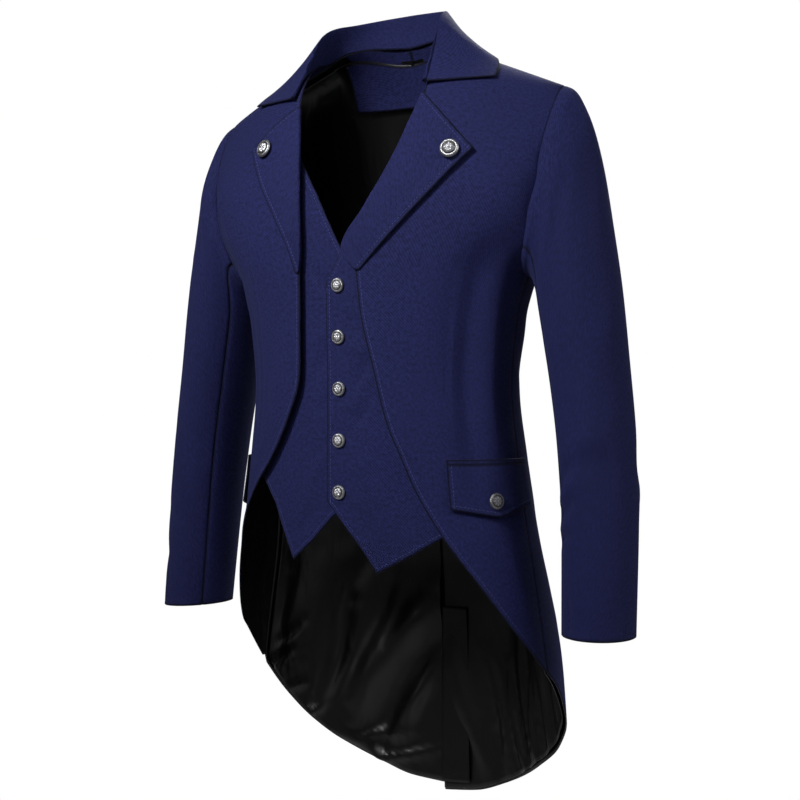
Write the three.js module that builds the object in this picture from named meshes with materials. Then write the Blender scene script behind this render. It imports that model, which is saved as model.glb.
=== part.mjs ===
// Frock coat with a cut-away front, swallow tails and a sewn-in waistcoat front.
// Millimetres, +Z up. The coat faces -Y and the wearer's left is +X.
// The origin is the middle of the neck base, at the height of the neck end of the shoulder seams.
import * as THREE from 'three';

// ---------- Driving sizes ----------

const CLOTH = 1.6; // thickness of the coat cloth with its interfacing
const LINING = 1.0; // thickness of the satin lining
const SEAM_GAP = 0.3; // space left between neighbouring pieces
const LINING_GAP = 2.6; // space between the cloth and its lining
const ARMPIT_LEVEL = -250; // height of the bottom of the armholes
const SHOULDER_RISE = 300; // length of cloth from the armpit level up to the shoulder seam
const SQUARENESS = 0.87; // 1 gives oval body sections, less gives squarer ones
const SIDE_SEAM = 90; // turn of the left side seam, in degrees from the centre front
const VENT_TOP = -641; // height of the top of the centre-back vent
const VENT_UNDERLAP = 34; // width of the right tail's extension under the left tail
const ARMHOLE_SCOOP = 25; // how far the armhole reaches each side of the side seam, in degrees
const NECK_POINT = 80; // distance of the neck end of the shoulder seam from the centre
const ARMHOLE_ROWS = 9; // rows of facets from the bottom of an armhole to the shoulder seam
const HEM_ROWS = 10; // rows of facets from the armpit level to the hem

// Horizontal sections of the body, from the armpit level down to the hem.
const BODY_RINGS = [
  { level: -250, halfWidth: 178, front: 104, back: 110 },
  { level: -300, halfWidth: 164, front: 103, back: 104 },
  { level: -375, halfWidth: 157, front: 101, back: 101 },
  { level: -450, halfWidth: 164, front: 101, back: 115 },
  { level: -510, halfWidth: 172, front: 101, back: 131 },
  { level: -600, halfWidth: 187, front: 100, back: 145 },
  { level: -700, halfWidth: 201, front: 98, back: 149 },
  { level: -870, halfWidth: 212, front: 95, back: 149 },
];

// Half width of the body above the armpits; rise is 0 at the armpit level and 1 at the shoulder seam.
const SHOULDER_SPREAD = [
  { rise: 0, halfWidth: 178 },
  { rise: 0.25, halfWidth: 212 },
  { rise: 0.5, halfWidth: 228 },
  { rise: 0.75, halfWidth: 225 },
  { rise: 1, halfWidth: 215 },
];

// Front edge above the armpit level: the fold of each lapel, as a distance from the centre front.
const FRONT_FOLD = [
  { rise: 0, left: 24, right: 49 },
  { rise: 0.083, left: 7, right: 48 },
  { rise: 0.262, left: 35, right: 52 },
  { rise: 0.415, left: 58, right: 56 },
  { rise: 0.556, left: 73, right: 61 },
  { rise: 0.769, left: 85, right: 74 },
  { rise: 0.9, left: 84, right: 79 },
  { rise: 1, left: 80, right: 80 },
];

// Front edge below the armpit level, running back round the body to the hem of the tails.
const CUTAWAY = [
  { level: -250, left: 5.7, right: 13 },
  { level: -300, left: 8, right: 14.5 },
  { level: -363, left: 13.5, right: 16 },
  { level: -413, left: 18, right: 23 },
  { level: -452, left: 23.6, right: 32 },
  { level: -487, left: 29, right: 46 },
  { level: -532, left: 38.3, right: 62 },
  { level: -595, left: 56, right: 76 },
  { level: -640, left: 71, right: 86 },
  { level: -682, left: 90, right: 97 },
  { level: -718, left: 105, right: 107 },
  { level: -768, left: 120, right: 122 },
];
const TAIL_HEM = [
  { turn: 90, left: -682, right: -660 },
  { turn: 105, left: -718, right: -712 },
  { turn: 120, left: -768, right: -760 },
  { turn: 130, left: -795, right: -788 },
  { turn: 147, left: -826, right: -822 },
  { turn: 160, left: -848, right: -843 },
  { turn: 170, left: -862, right: -855 },
  { turn: 180, left: -868, right: -859 },
];

// The right side seam is drawn back at hip height, where that front hangs further open.
const RIGHT_SIDE_SEAM = [
  { level: -250, turn: 90 },
  { level: -360, turn: 92 },
  { level: -480, turn: 101 },
  { level: -600, turn: 104 },
  { level: -720, turn: 104 },
];

// Soft folds of the coat body: lengthwise ridges (or hollows, where depth is negative).
const BODY_FOLDS = [
  { turn: 66, top: -110, bottom: -260, width: 7, depth: -4 },
  { turn: 44, top: -230, bottom: -440, width: 5, depth: -2 },
  { turn: -62, top: -120, bottom: -280, width: 7, depth: -3 },
  { turn: 118, top: -520, bottom: -900, width: 9, depth: 5 },
  { turn: 138, top: -560, bottom: -900, width: 8, depth: -5 },
  { turn: 158, top: -540, bottom: -900, width: 8, depth: 4 },
  { turn: -122, top: -540, bottom: -900, width: 9, depth: 5 },
  { turn: -141, top: -580, bottom: -900, width: 9, depth: -5 },
  { turn: -160, top: -560, bottom: -900, width: 7, depth: 4 },
];

// Sections of the left sleeve from the armhole down: the outermost and innermost points of each,
// its middle from front to back, and half of its breadth in that direction.
const SLEEVE_SECTIONS = [
  { along: 0, outX: 215, outZ: -54, inX: 178, inZ: -250, midY: 3, halfBreadth: 44 },
  { along: 0.05, outX: 229, outZ: -65, inX: 184, inZ: -254, midY: 7, halfBreadth: 52 },
  { along: 0.11, outX: 243, outZ: -92, inX: 188, inZ: -262, midY: 10, halfBreadth: 56 },
  { along: 0.18, outX: 252, outZ: -130, inX: 191, inZ: -275, midY: 13, halfBreadth: 58 },
  { along: 0.28, outX: 261, outZ: -190, inX: 194, inZ: -298, midY: 15, halfBreadth: 59 },
  { along: 0.4, outX: 272, outZ: -265, inX: 199, inZ: -330, midY: 16, halfBreadth: 59 },
  { along: 0.52, outX: 281, outZ: -345, inX: 206, inZ: -372, midY: 15, halfBreadth: 57 },
  { along: 0.66, outX: 290, outZ: -430, inX: 215, inZ: -438, midY: 12, halfBreadth: 55 },
  { along: 0.8, outX: 295, outZ: -510, inX: 221, inZ: -511, midY: 7, halfBreadth: 52 },
  { along: 1, outX: 297, outZ: -637, inX: 226, inZ: -634, midY: -5, halfBreadth: 47 },
];

// Stations of the collar from the centre back to the lapel: its neck seam, its fold and its free edge.
const COLLAR_STATIONS = [
  { along: 0, seamX: 0, seamY: 60, seamZ: 31, foldX: 0, foldY: 72, foldZ: 67, edgeX: 0, edgeY: 80, edgeZ: -4 },
  { along: 0.2, seamX: 38, seamY: 50, seamZ: 32, foldX: 35, foldY: 61, foldZ: 63, edgeX: 56, edgeY: 68, edgeZ: -4 },
  { along: 0.4, seamX: 65, seamY: 29, seamZ: 25, foldX: 59, foldY: 36, foldZ: 54, edgeX: 100, edgeY: 50, edgeZ: -11 },
  { along: 0.55, seamX: 77, seamY: 10, seamZ: 12, foldX: 71, foldY: 9, foldZ: 45, edgeX: 126, edgeY: 22, edgeZ: -10 },
  { along: 0.72, seamX: 80, seamY: -20, seamZ: -1, foldX: 76, foldY: -12, foldZ: 33, edgeX: 143, edgeY: 0, edgeZ: -17 },
  { along: 0.87, seamX: 82, seamY: -45, seamZ: -23, foldX: 81, foldY: -38, foldZ: -9, edgeX: 152, edgeY: -18, edgeZ: -30 },
  { along: 1, seamX: 84, seamY: -61, seamZ: -48, foldX: 85, foldY: -63, foldZ: -46, edgeX: 155, edgeY: -33, edgeZ: -42 },
];

// Lapels: the outer edge from the peak down to where the fold runs out.
const LAPEL_TOP_LEVEL = -61;
const LAPEL_EDGE = {
  left: [
    { down: 0, x: 148, z: -128 },
    { down: 0.5, x: 88, z: -191 },
    { down: 1, x: 29, z: -250 },
  ],
  right: [
    { down: 0, x: 131, z: -105 },
    { down: 0.3, x: 109, z: -147 },
    { down: 0.6, x: 82, z: -190 },
    { down: 0.82, x: 64, z: -222 },
    { down: 1, x: 53, z: -250 },
  ],
};

// Waistcoat panels: top and hem heights at distances from the centre front.
const WAISTCOAT = {
  left: [
    { x: -17, top: -262, hem: -500 },
    { x: -8, top: -246, hem: -510 },
    { x: 3, top: -227, hem: -523 },
    { x: 26, top: -195, hem: -549 },
    { x: 45, top: -166, hem: -575 },
    { x: 82, top: -112, hem: -556 },
    { x: 117, top: -110, hem: -535 },
    { x: 150, top: -130, hem: -512 },
  ],
  right: [
    { x: -14, top: -252, hem: -491 },
    { x: -2, top: -228, hem: -504 },
    { x: 14, top: -199, hem: -518 },
    { x: 38, top: -157, hem: -542 },
    { x: 68, top: -112, hem: -566 },
    { x: 98, top: -110, hem: -505 },
    { x: 116, top: -110, hem: -484 },
    { x: 140, top: -125, hem: -470 },
  ],
};

// Buttons: plain domed castings.
const WAISTCOAT_BUTTON = { radius: 8, height: 5.5, count: 5, firstLevel: -265, pitch: 56 };
const LAPEL_BUTTON = { radius: 10.5, height: 6 };
const FLAP_BUTTON = { radius: 9, height: 5 };
const LAPEL_BUTTON_PLACE = { left: { x: 125, z: -129 }, right: { x: -106, z: -108 } };

// Pocket flaps: corners of the lower edge, with each side's front and back ends in degrees.
const FLAP_TOP_LEVEL = -458;
const WELT_HEIGHT = 5;
const FLAP_PLACE = {
  left: { front: 43.5, point: 68, back: 94 },
  right: { front: 63, point: 85, back: 110 },
};
const FLAP_HEM = { front: -505, point: -514, back: -502 };

// ---------- Materials ----------

const cloth = () => new THREE.MeshStandardMaterial({ color: '#2a2f5c', roughness: 0.85, metalness: 0 });
const satin = () => new THREE.MeshStandardMaterial({ color: '#0d0c10', roughness: 0.4, metalness: 0 });
const castSilver = () => new THREE.MeshStandardMaterial({ color: '#9a9a9c', roughness: 0.35, metalness: 1 });

// ---------- Small helpers ----------

const radians = (degrees) => (degrees * Math.PI) / 180;
const degrees = (angle) => (angle * 180) / Math.PI;
const mix = (from, to, share) => from + (to - from) * share;
const clamp01 = (value) => Math.min(1, Math.max(0, value));
const smooth = (value) => clamp01(value) ** 2 * (3 - 2 * clamp01(value));

// Reads one column of a table at any key, on a smooth curve that never overshoots its rows.
function read(table, key, at, column) {
  const step = table[0][key] < table[table.length - 1][key] ? 1 : -1;
  const last = table.length - 2;
  let row = 0;
  while (row < last && (at - table[row + 1][key]) * step > 0) row += 1;
  const slope = (i) => (table[i + 1][column] - table[i][column]) / (table[i + 1][key] - table[i][key]);
  const tangent = (i) => {
    if (i === 0) return slope(0);
    if (i === last + 1) return slope(last);
    const before = slope(i - 1);
    const after = slope(i);
    return before * after <= 0 ? 0 : (2 * before * after) / (before + after);
  };
  const width = table[row + 1][key] - table[row][key];
  const t = clamp01((at - table[row][key]) / width);
  const start = table[row][column];
  const end = table[row + 1][column];
  return (
    start * (1 + 2 * t) * (1 - t) ** 2 +
    tangent(row) * width * t * (1 - t) ** 2 +
    end * t ** 2 * (3 - 2 * t) +
    tangent(row + 1) * width * t ** 2 * (t - 1)
  );
}

// ---------- The surface of the body ----------

// The shoulder ridge: how far back it lies, its height, its slope and how round it is at the neck.
const RIDGE_Y = 10;
const RIDGE = { height: 45, slope: 0.45, roundness: 40, neckRise: 40 };

// Height of the shoulder ridge at a distance from the centre; the back rises higher, up the neck.
function ridgeHeight(x, isBack) {
  const neck = isBack ? RIDGE.neckRise * Math.max(0, 1 - (x / NECK_POINT) ** 2) : 0;
  return RIDGE.height - RIDGE.slope * Math.hypot(x, RIDGE.roundness) + neck;
}

// A point on the inside face of the coat body. turn is 0 at the centre front, 90 at the wearer's
// left and 180 at the centre back; up is the length of cloth above the armpit level.
function bodyPoint(turn, up) {
  const angle = radians(Math.abs(turn));
  const isBack = Math.abs(turn) > 90;
  const side = turn < 0 ? -1 : 1;
  const across = Math.max(0, Math.sin(angle)) ** SQUARENESS;
  const forward = Math.abs(Math.cos(angle)) ** SQUARENESS * (isBack ? 1 : -1);
  if (up <= 0) {
    const level = ARMPIT_LEVEL + up;
    const depth = read(BODY_RINGS, 'level', level, isBack ? 'back' : 'front');
    const x = read(BODY_RINGS, 'level', level, 'halfWidth') * across;
    return new THREE.Vector3(side * x, depth * forward, level);
  }
  const climb = radians((90 * up) / SHOULDER_RISE);
  const rise = Math.sin(climb);
  const x = read(SHOULDER_SPREAD, 'rise', rise, 'halfWidth') * across;
  const ringY = (isBack ? BODY_RINGS[0].back : BODY_RINGS[0].front) * forward;
  const y = RIDGE_Y + (ringY - RIDGE_Y) * Math.cos(climb);
  const z = ARMPIT_LEVEL + rise * (ridgeHeight(x, isBack) - ARMPIT_LEVEL);
  return new THREE.Vector3(side * x, y, z);
}

// How far the soft folds lift the cloth at a place on the body.
function foldLift(turn, level) {
  return BODY_FOLDS.reduce((lift, fold) => {
    const across = Math.exp(-(((turn - fold.turn) / fold.width) ** 2));
    const reach = (fold.top - fold.bottom) / 3;
    const fadeIn = smooth((fold.top - level) / reach);
    const fadeOut = smooth((level - fold.bottom) / reach);
    return lift + fold.depth * across * fadeIn * fadeOut;
  }, 0);
}

// A point at a distance out from the inside face of the coat body.
function surface(turn, up, offset) {
  const point = bodyPoint(turn, up);
  const beside = bodyPoint(turn + 0.4, up).sub(bodyPoint(turn - 0.4, up));
  const above = bodyPoint(turn, Math.min(up + 1, SHOULDER_RISE)).sub(bodyPoint(turn, up - 1));
  const normal = beside.cross(above).normalize();
  return point.addScaledVector(normal, offset + foldLift(turn, point.z));
}

// The turn at which a body section has a given distance from the centre.
const turnAt = (x, halfWidth) => degrees(Math.asin(clamp01(x / halfWidth) ** (1 / SQUARENESS)));

// A point on the front at a sideways distance and a height.
function frontPoint(x, z, offset) {
  const side = x < 0 ? -1 : 1;
  const far = Math.abs(x);
  if (z <= ARMPIT_LEVEL) {
    return surface(side * turnAt(far, read(BODY_RINGS, 'level', z, 'halfWidth')), z - ARMPIT_LEVEL, offset);
  }
  const rise = clamp01((z - ARMPIT_LEVEL) / (ridgeHeight(far, false) - ARMPIT_LEVEL));
  const turn = turnAt(far, read(SHOULDER_SPREAD, 'rise', rise, 'halfWidth'));
  return surface(side * turn, (degrees(Math.asin(rise)) * SHOULDER_RISE) / 90, offset);
}

// ---------- Solids ----------

// Joins a grid of points on the outside face to one on the inside face as a closed sheet.
function closedSheet(outside, inside) {
  const rows = outside.length;
  const columns = outside[0].length;
  const positions = [];
  [outside, inside].forEach((grid) => grid.flat().forEach((p) => positions.push(p.x, p.y, p.z)));
  const at = (face, row, column) => face * rows * columns + row * columns + column;
  const triangles = [];
  const quad = (a, b, c, d) => triangles.push(a, b, c, a, c, d);
  for (let i = 0; i + 1 < rows; i += 1) {
    for (let j = 0; j + 1 < columns; j += 1) {
      quad(at(0, i, j), at(0, i + 1, j), at(0, i + 1, j + 1), at(0, i, j + 1));
      quad(at(1, i, j), at(1, i, j + 1), at(1, i + 1, j + 1), at(1, i + 1, j));
    }
    quad(at(0, i + 1, 0), at(0, i, 0), at(1, i, 0), at(1, i + 1, 0));
    quad(at(0, i, columns - 1), at(0, i + 1, columns - 1), at(1, i + 1, columns - 1), at(1, i, columns - 1));
  }
  for (let j = 0; j + 1 < columns; j += 1) {
    quad(at(0, 0, j), at(0, 0, j + 1), at(1, 0, j + 1), at(1, 0, j));
    quad(at(0, rows - 1, j + 1), at(0, rows - 1, j), at(1, rows - 1, j), at(1, rows - 1, j + 1));
  }
  return orient(positions, triangles);
}

// Turns the faces outwards, which the sign of the enclosed volume shows.
function orient(positions, triangles) {
  const point = (i) => new THREE.Vector3(...positions.slice(3 * i, 3 * i + 3));
  let volume = 0;
  for (let i = 0; i < triangles.length; i += 3) {
    const [a, b, c] = triangles.slice(i, i + 3).map(point);
    volume += a.dot(b.cross(c));
  }
  const faces = volume > 0 ? triangles : triangles.slice().reverse();
  const geometry = new THREE.BufferGeometry();
  geometry.setAttribute('position', new THREE.Float32BufferAttribute(positions, 3));
  geometry.setIndex(faces);
  return geometry;
}

// A sheet lying on the body: place(u, v) gives its turn, its up and its inner and outer offsets.
function bodySheet(rowShares, columns, place) {
  const grid = (face) =>
    rowShares.map((v) =>
      Array.from({ length: columns + 1 }, (_, j) => {
        const spot = place(j / columns, v);
        return surface(spot.turn, spot.up, face === 0 ? spot.outer : spot.inner);
      }),
    );
  return closedSheet(grid(0), grid(1));
}

// A sheet of a given thickness on a grid of points; it grows along the grid's own normals.
function gridSheet(grid, thickness) {
  const last = grid.length - 1;
  const end = grid[0].length - 1;
  const grown = grid.map((row, i) =>
    row.map((point, j) => {
      const across = row[Math.min(j + 1, end)].clone().sub(row[Math.max(j - 1, 0)]);
      const down = grid[Math.min(i + 1, last)][j].clone().sub(grid[Math.max(i - 1, 0)][j]);
      return point.clone().addScaledVector(across.cross(down).normalize(), thickness);
    }),
  );
  return closedSheet(grid, grown);
}

const coat = new THREE.Group();

function add(name, geometry, material) {
  const mesh = new THREE.Mesh(geometry, material);
  mesh.name = name;
  coat.add(mesh);
  return mesh;
}

const steps = (count) => Array.from({ length: count + 1 }, (_, i) => i / count);
const SIDES = [
  { name: 'left', sign: 1 },
  { name: 'right', sign: -1 },
];

// ---------- Fronts and backs ----------

const sideSeam = (side, level) => (side.sign > 0 ? SIDE_SEAM : read(RIGHT_SIDE_SEAM, 'level', level, 'turn'));

// Rows above the armpit level stand at even angles round the armhole.
const armholeAngles = steps(ARMHOLE_ROWS).map((share) => 180 * share);
const riseAt = (angle) => (1 + Math.cos(radians(angle))) / 2;
const upAt = (rise) => (degrees(Math.asin(clamp01(rise))) * SHOULDER_RISE) / 90;
const scoopAt = (rise) => ARMHOLE_SCOOP * 2 * Math.sqrt(Math.max(0, rise * (1 - rise)));

const FRONT_POINT_TURN = 1.5; // width left at the lowest point of a front, in degrees
const SEARCH_STEP = 0.5;

// The level at which the front edge of a side crosses its side seam.
function frontEndLevel(side) {
  const isOpen = (level) => read(CUTAWAY, 'level', level, side.name) < sideSeam(side, level) - FRONT_POINT_TURN;
  let level = ARMPIT_LEVEL;
  while (isOpen(level)) level -= SEARCH_STEP;
  return level;
}

// Rows of a panel from the shoulder (share -1) through the armpit level (0) to the hem (1).
const panelRows = [...armholeAngles.slice(0, -1).map((angle) => -riseAt(angle)), ...steps(HEM_ROWS)];
const SEAM_TURN = 0.05; // half of the seam gap, in degrees at the side seam
const TOP_GAP = 0.2; // how far the cloth stops short of the shoulder seam
const FRONT_COLUMNS = 8;

function frontPanel(side) {
  const end = frontEndLevel(side);
  return bodySheet(panelRows, FRONT_COLUMNS, (u, share) => {
    if (share < 0) {
      const rise = -share;
      const halfWidth = read(SHOULDER_SPREAD, 'rise', rise, 'halfWidth');
      const fold = turnAt(read(FRONT_FOLD, 'rise', rise, side.name), halfWidth);
      const armhole = SIDE_SEAM - scoopAt(rise) - SEAM_TURN;
      return { turn: side.sign * mix(fold, armhole, u), up: upAt(rise) - TOP_GAP, inner: 0, outer: CLOTH };
    }
    const level = mix(ARMPIT_LEVEL, end, share);
    const edge = read(CUTAWAY, 'level', level, side.name);
    const turn = mix(edge, sideSeam(side, level) - SEAM_TURN, u);
    return { turn: side.sign * turn, up: level - ARMPIT_LEVEL, inner: 0, outer: CLOTH };
  });
}

const NECK_TOP = 200; // length of cloth from the armpit level to the neck edge at the centre back

// The neck edge of the back: full height at the shoulder seam, lower down the neck at the centre.
function backTop(turn) {
  const x = read(SHOULDER_SPREAD, 'rise', 1, 'halfWidth') * Math.sin(radians(turn)) ** SQUARENESS;
  return mix(NECK_TOP, SHOULDER_RISE, Math.min(1, x / NECK_POINT) ** 2);
}

// Columns of facets stand closer together towards the centre back, where the neck curves most.
const CENTRE_CROWDING = 1.4;
const BACK_COLUMNS = 10;
const SKIRT_HALF_WIDTH = 190; // half width of the body at the vent
// How a lining is cut smaller than its panel, in mm for each degree of margin.
const LINING_CUT = { centre: 0.1, top: 14, hem: 2.5 };
const LINING_MARGIN = 3; // degrees between a lining and the side seam

// Back panels and their linings share one shape; margin draws the edges of a lining in.
function backPanel(side, inner, outer, margin) {
  return bodySheet(panelRows, BACK_COLUMNS, (share01, share) => {
    const u = 1 - (1 - share01) ** CENTRE_CROWDING;
    const centre = 180 - turnAt(SEAM_GAP / 2 + margin * LINING_CUT.centre, SKIRT_HALF_WIDTH);
    if (share < 0) {
      const rise = -share;
      const armhole = SIDE_SEAM + scoopAt(rise) + SEAM_TURN + margin;
      const turn = mix(armhole, centre, u);
      const top = backTop(turn) - TOP_GAP - margin * LINING_CUT.top;
      return { turn: side.sign * turn, up: (upAt(rise) * top) / SHOULDER_RISE, inner, outer };
    }
    const end = frontEndLevel(side);
    const seam = sideSeam(side, mix(ARMPIT_LEVEL, end, share)) + SEAM_TURN + margin;
    const turn = mix(seam, centre, u);
    const hem = u === 0 ? end : read(TAIL_HEM, 'turn', turn, side.name);
    const level = mix(ARMPIT_LEVEL, hem + margin * LINING_CUT.hem, share);
    return { turn: side.sign * turn, up: level - ARMPIT_LEVEL, inner, outer };
  });
}

SIDES.forEach((side) => {
  add(`front_${side.name}`, frontPanel(side), cloth());
  add(`back_${side.name}`, backPanel(side, 0, CLOTH, 0), cloth());
  add(`lining_back_${side.name}`, backPanel(side, -LINING_GAP - LINING, -LINING_GAP, LINING_MARGIN), satin());
});

// ---------- Vent and neck facing ----------

// The right tail's extension, which hangs inside the left tail.
const UNDERLAP_DEPTH = 7;
const UNDERLAP = { start: 1, hemLift: 3, rows: 5, columns: 2 };
const underlap = bodySheet(steps(UNDERLAP.rows), UNDERLAP.columns, (u, v) => {
  const turn = 180 - turnAt(mix(UNDERLAP.start, VENT_UNDERLAP, u), SKIRT_HALF_WIDTH);
  const level = mix(VENT_TOP, read(TAIL_HEM, 'turn', turn, 'right') + UNDERLAP.hemLift, v);
  return { turn, up: level - ARMPIT_LEVEL, inner: -UNDERLAP_DEPTH - CLOTH, outer: -UNDERLAP_DEPTH };
});
add('vent_underlap', underlap, cloth());

// The cloth facing at the back of the neck, over the top of the lining.
const FACING = { halfWidth: 74, bottom: -38, depth: 8.5, topGap: 6, rows: 6, columns: 12 };
const NECK_HALF_WIDTH = 222; // half width of the body at the height of the facing
const facing = bodySheet(steps(FACING.rows), FACING.columns, (u, v) => {
  const x = mix(-FACING.halfWidth, FACING.halfWidth, u);
  const turn = 180 - turnAt(Math.abs(x), NECK_HALF_WIDTH);
  const bottomRise = (FACING.bottom - ARMPIT_LEVEL) / (ridgeHeight(Math.abs(x), true) - ARMPIT_LEVEL);
  const up = mix(backTop(turn) - FACING.topGap, upAt(bottomRise), v);
  return { turn: x < 0 ? -turn : turn, up, inner: -FACING.depth - LINING, outer: -FACING.depth };
});
add('neck_facing', facing, cloth());

// ---------- Sleeves ----------

const ARMHOLE_CLEARANCE = 1.2; // the sleeve head starts this far out from the armhole edge
const HEAD_REACH = 0.3; // share of the sleeve's length over which its head settles into the armhole

// A point on the inside face of a sleeve: round is 0 at the shoulder, 90 at the front.
function sleevePoint(side, round, along) {
  const section = (column) => read(SLEEVE_SECTIONS, 'along', along, column);
  const ringPoint = (out, into, midY, half) => {
    const lean = Math.cos(radians(round));
    const x = (out.x + into.x) / 2 + ((out.x - into.x) / 2) * lean;
    const z = (out.z + into.z) / 2 + ((out.z - into.z) / 2) * lean;
    return new THREE.Vector3(x, midY - half * Math.sin(radians(round)), z);
  };
  const out = { x: section('outX'), z: section('outZ') };
  const into = { x: section('inX'), z: section('inZ') };
  const point = ringPoint(out, into, section('midY'), section('halfBreadth'));
  const first = SLEEVE_SECTIONS[0];
  const start = ringPoint(
    { x: first.outX, z: first.outZ },
    { x: first.inX, z: first.inZ },
    first.midY,
    first.halfBreadth,
  );
  const rise = riseAt(round);
  const isBack = round > 180;
  const turn = SIDE_SEAM + (isBack ? 1 : -1) * scoopAt(rise);
  const armhole = surface(side.sign * turn, upAt(rise) - TOP_GAP, CLOTH);
  armhole.x = armhole.x * side.sign + ARMHOLE_CLEARANCE;
  point.addScaledVector(armhole.sub(start), 1 - smooth(along / HEAD_REACH));
  point.x *= side.sign;
  return point;
}

// Each sleeve is a wide top sleeve and a narrow under sleeve.
const SLEEVE_CUTS = [
  { name: 'top', from: -100, to: 140, columns: 12 },
  { name: 'under', from: 140, to: 260, columns: 6 },
];
const SLEEVE_ROWS = [0, 0.03, 0.07, 0.12, 0.2, 0.32, 0.46, 0.6, 0.74, 0.87, 1];
const SLEEVE_SEAM_TURN = 0.25; // half of the gap at a sleeve seam, in degrees round the sleeve

SIDES.forEach((side) => {
  SLEEVE_CUTS.forEach((cut) => {
    const grid = SLEEVE_ROWS.map((along) =>
      steps(cut.columns).map((share) => {
        const round = mix(cut.from + SLEEVE_SEAM_TURN, cut.to - SLEEVE_SEAM_TURN, share);
        return sleevePoint(side, (round + 360) % 360, along);
      }),
    );
    add(`sleeve_${cut.name}_${side.name}`, gridSheet(grid, side.sign * CLOTH), cloth());
  });
});

// ---------- Collar ----------

// A point on the under side of the folded collar; across is 0 at the neck seam, 1 at the free edge.
const COLLAR_FOLD_ROUND = 4; // breadth of the rounded fold at the top
const COLLAR_SAG = 3; // how far the fall hollows in below its fold
const STAND_HEIGHT = 37; // height of the fold over the neck seam where the collar is fullest
function collarPoint(along, across) {
  const side = along < 0 ? -1 : 1;
  const at = (name) => {
    const value = (axis) => read(COLLAR_STATIONS, 'along', Math.abs(along), name + axis);
    return new THREE.Vector3(side * value('X'), value('Y'), value('Z'));
  };
  const seam = at('seam');
  const fold = at('fold');
  const edge = at('edge');
  const out = edge.clone().sub(seam).setZ(0).normalize();
  const height = clamp01((fold.z - seam.z) / STAND_HEIGHT);
  const crest = fold.clone().addScaledVector(out, COLLAR_FOLD_ROUND * height);
  const fall = (share) => {
    const point = crest.clone().lerp(edge, share);
    point.z -= COLLAR_SAG * height * 4 * share * (1 - share);
    return point;
  };
  const points = [seam, seam.clone().lerp(fold, 0.6), fold, crest, fall(1 / 3), fall(2 / 3), edge];
  const place = across * (points.length - 1);
  const index = Math.min(points.length - 2, Math.floor(place));
  return points[index].clone().lerp(points[index + 1], place - index);
}

const COLLAR_ENDS = { left: 1, right: -1 };
const collarGrid = steps(18).map((share) =>
  steps(6).map((across) => collarPoint(mix(COLLAR_ENDS.right, COLLAR_ENDS.left, share), across)),
);
add('collar', gridSheet(collarGrid, CLOTH), cloth());

// ---------- Lapels ----------

const LAPEL_LIFT = 2.2; // space between a lapel and the front beneath it
const LAPEL_SWELL = 3; // how far the middle and the peak of a lapel stand off
const LAPEL_FOLD_GAP = 0.5; // space between a lapel and the fold of its front
const LAPEL_MIDDLE = 70; // distance from the centre at which the fold's rise is taken
const SWELL_REACH = 0.75; // share of a lapel's width at which it stops sinking back

function lapelPoint(side, across, down, layer) {
  const foldLevel = mix(LAPEL_TOP_LEVEL, ARMPIT_LEVEL, down);
  const rise = (foldLevel - ARMPIT_LEVEL) / (ridgeHeight(LAPEL_MIDDLE, false) - ARMPIT_LEVEL);
  const foldX = read(FRONT_FOLD, 'rise', rise, side.name) + LAPEL_FOLD_GAP;
  const edgeX = read(LAPEL_EDGE[side.name], 'down', down, 'x');
  const edgeZ = read(LAPEL_EDGE[side.name], 'down', down, 'z');
  const swell = LAPEL_SWELL * Math.sin(Math.PI * Math.min(SWELL_REACH, across)) * (1 - down);
  const x = side.sign * mix(foldX, edgeX, across);
  const z = mix(foldLevel, edgeZ, across);
  return frontPoint(x, z, CLOTH + LAPEL_LIFT + swell + layer);
}

SIDES.forEach((side) => {
  const grid = (layer) =>
    steps(10).map((down) => steps(4).map((across) => lapelPoint(side, across, down, layer)));
  add(`lapel_${side.name}`, closedSheet(grid(CLOTH), grid(0)), cloth());
});

// ---------- Waistcoat front ----------

// The left panel laps over the right one; both hang inside the coat fronts.
const WAISTCOAT_DEPTH = { left: 5.6, right: 9 };

SIDES.forEach((side) => {
  const table = WAISTCOAT[side.name];
  const depth = WAISTCOAT_DEPTH[side.name];
  const grid = (layer) =>
    steps(12).map((down) =>
      table.map((column) => {
        const z = mix(column.top, column.hem, down);
        return frontPoint(side.sign * column.x, z, -depth + layer);
      }),
    );
  add(`waistcoat_${side.name}`, closedSheet(grid(CLOTH), grid(0)), cloth());
});

// ---------- Pocket flaps ----------

const FLAP_LIFT = 1.8; // space between a flap and the front beneath it
function flapHem(place, turn) {
  const atPoint = (turn - place.front) / (place.point - place.front);
  const pastPoint = (turn - place.point) / (place.back - place.point);
  if (atPoint < 1) return mix(FLAP_HEM.front, FLAP_HEM.point, atPoint);
  return mix(FLAP_HEM.point, FLAP_HEM.back, pastPoint);
}

SIDES.forEach((side) => {
  const place = FLAP_PLACE[side.name];
  const turns = steps(8).map((share) => mix(place.front, place.back, share));
  const strip = (fromLevel, toLevel, rows) => (layer) =>
    steps(rows).map((down) =>
      turns.map((turn) => {
        const level = mix(fromLevel, toLevel(turn), down);
        return surface(side.sign * turn, level - ARMPIT_LEVEL, CLOTH + FLAP_LIFT + layer);
      }),
    );
  const flap = strip(FLAP_TOP_LEVEL, (turn) => flapHem(place, turn), 3);
  const welt = strip(FLAP_TOP_LEVEL + SEAM_GAP + WELT_HEIGHT, () => FLAP_TOP_LEVEL + SEAM_GAP, 1);
  add(`pocket_flap_${side.name}`, closedSheet(flap(CLOTH), flap(0)), cloth());
  add(`pocket_welt_${side.name}`, closedSheet(welt(CLOTH), welt(0)), cloth());
});

// ---------- Buttons ----------

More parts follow.
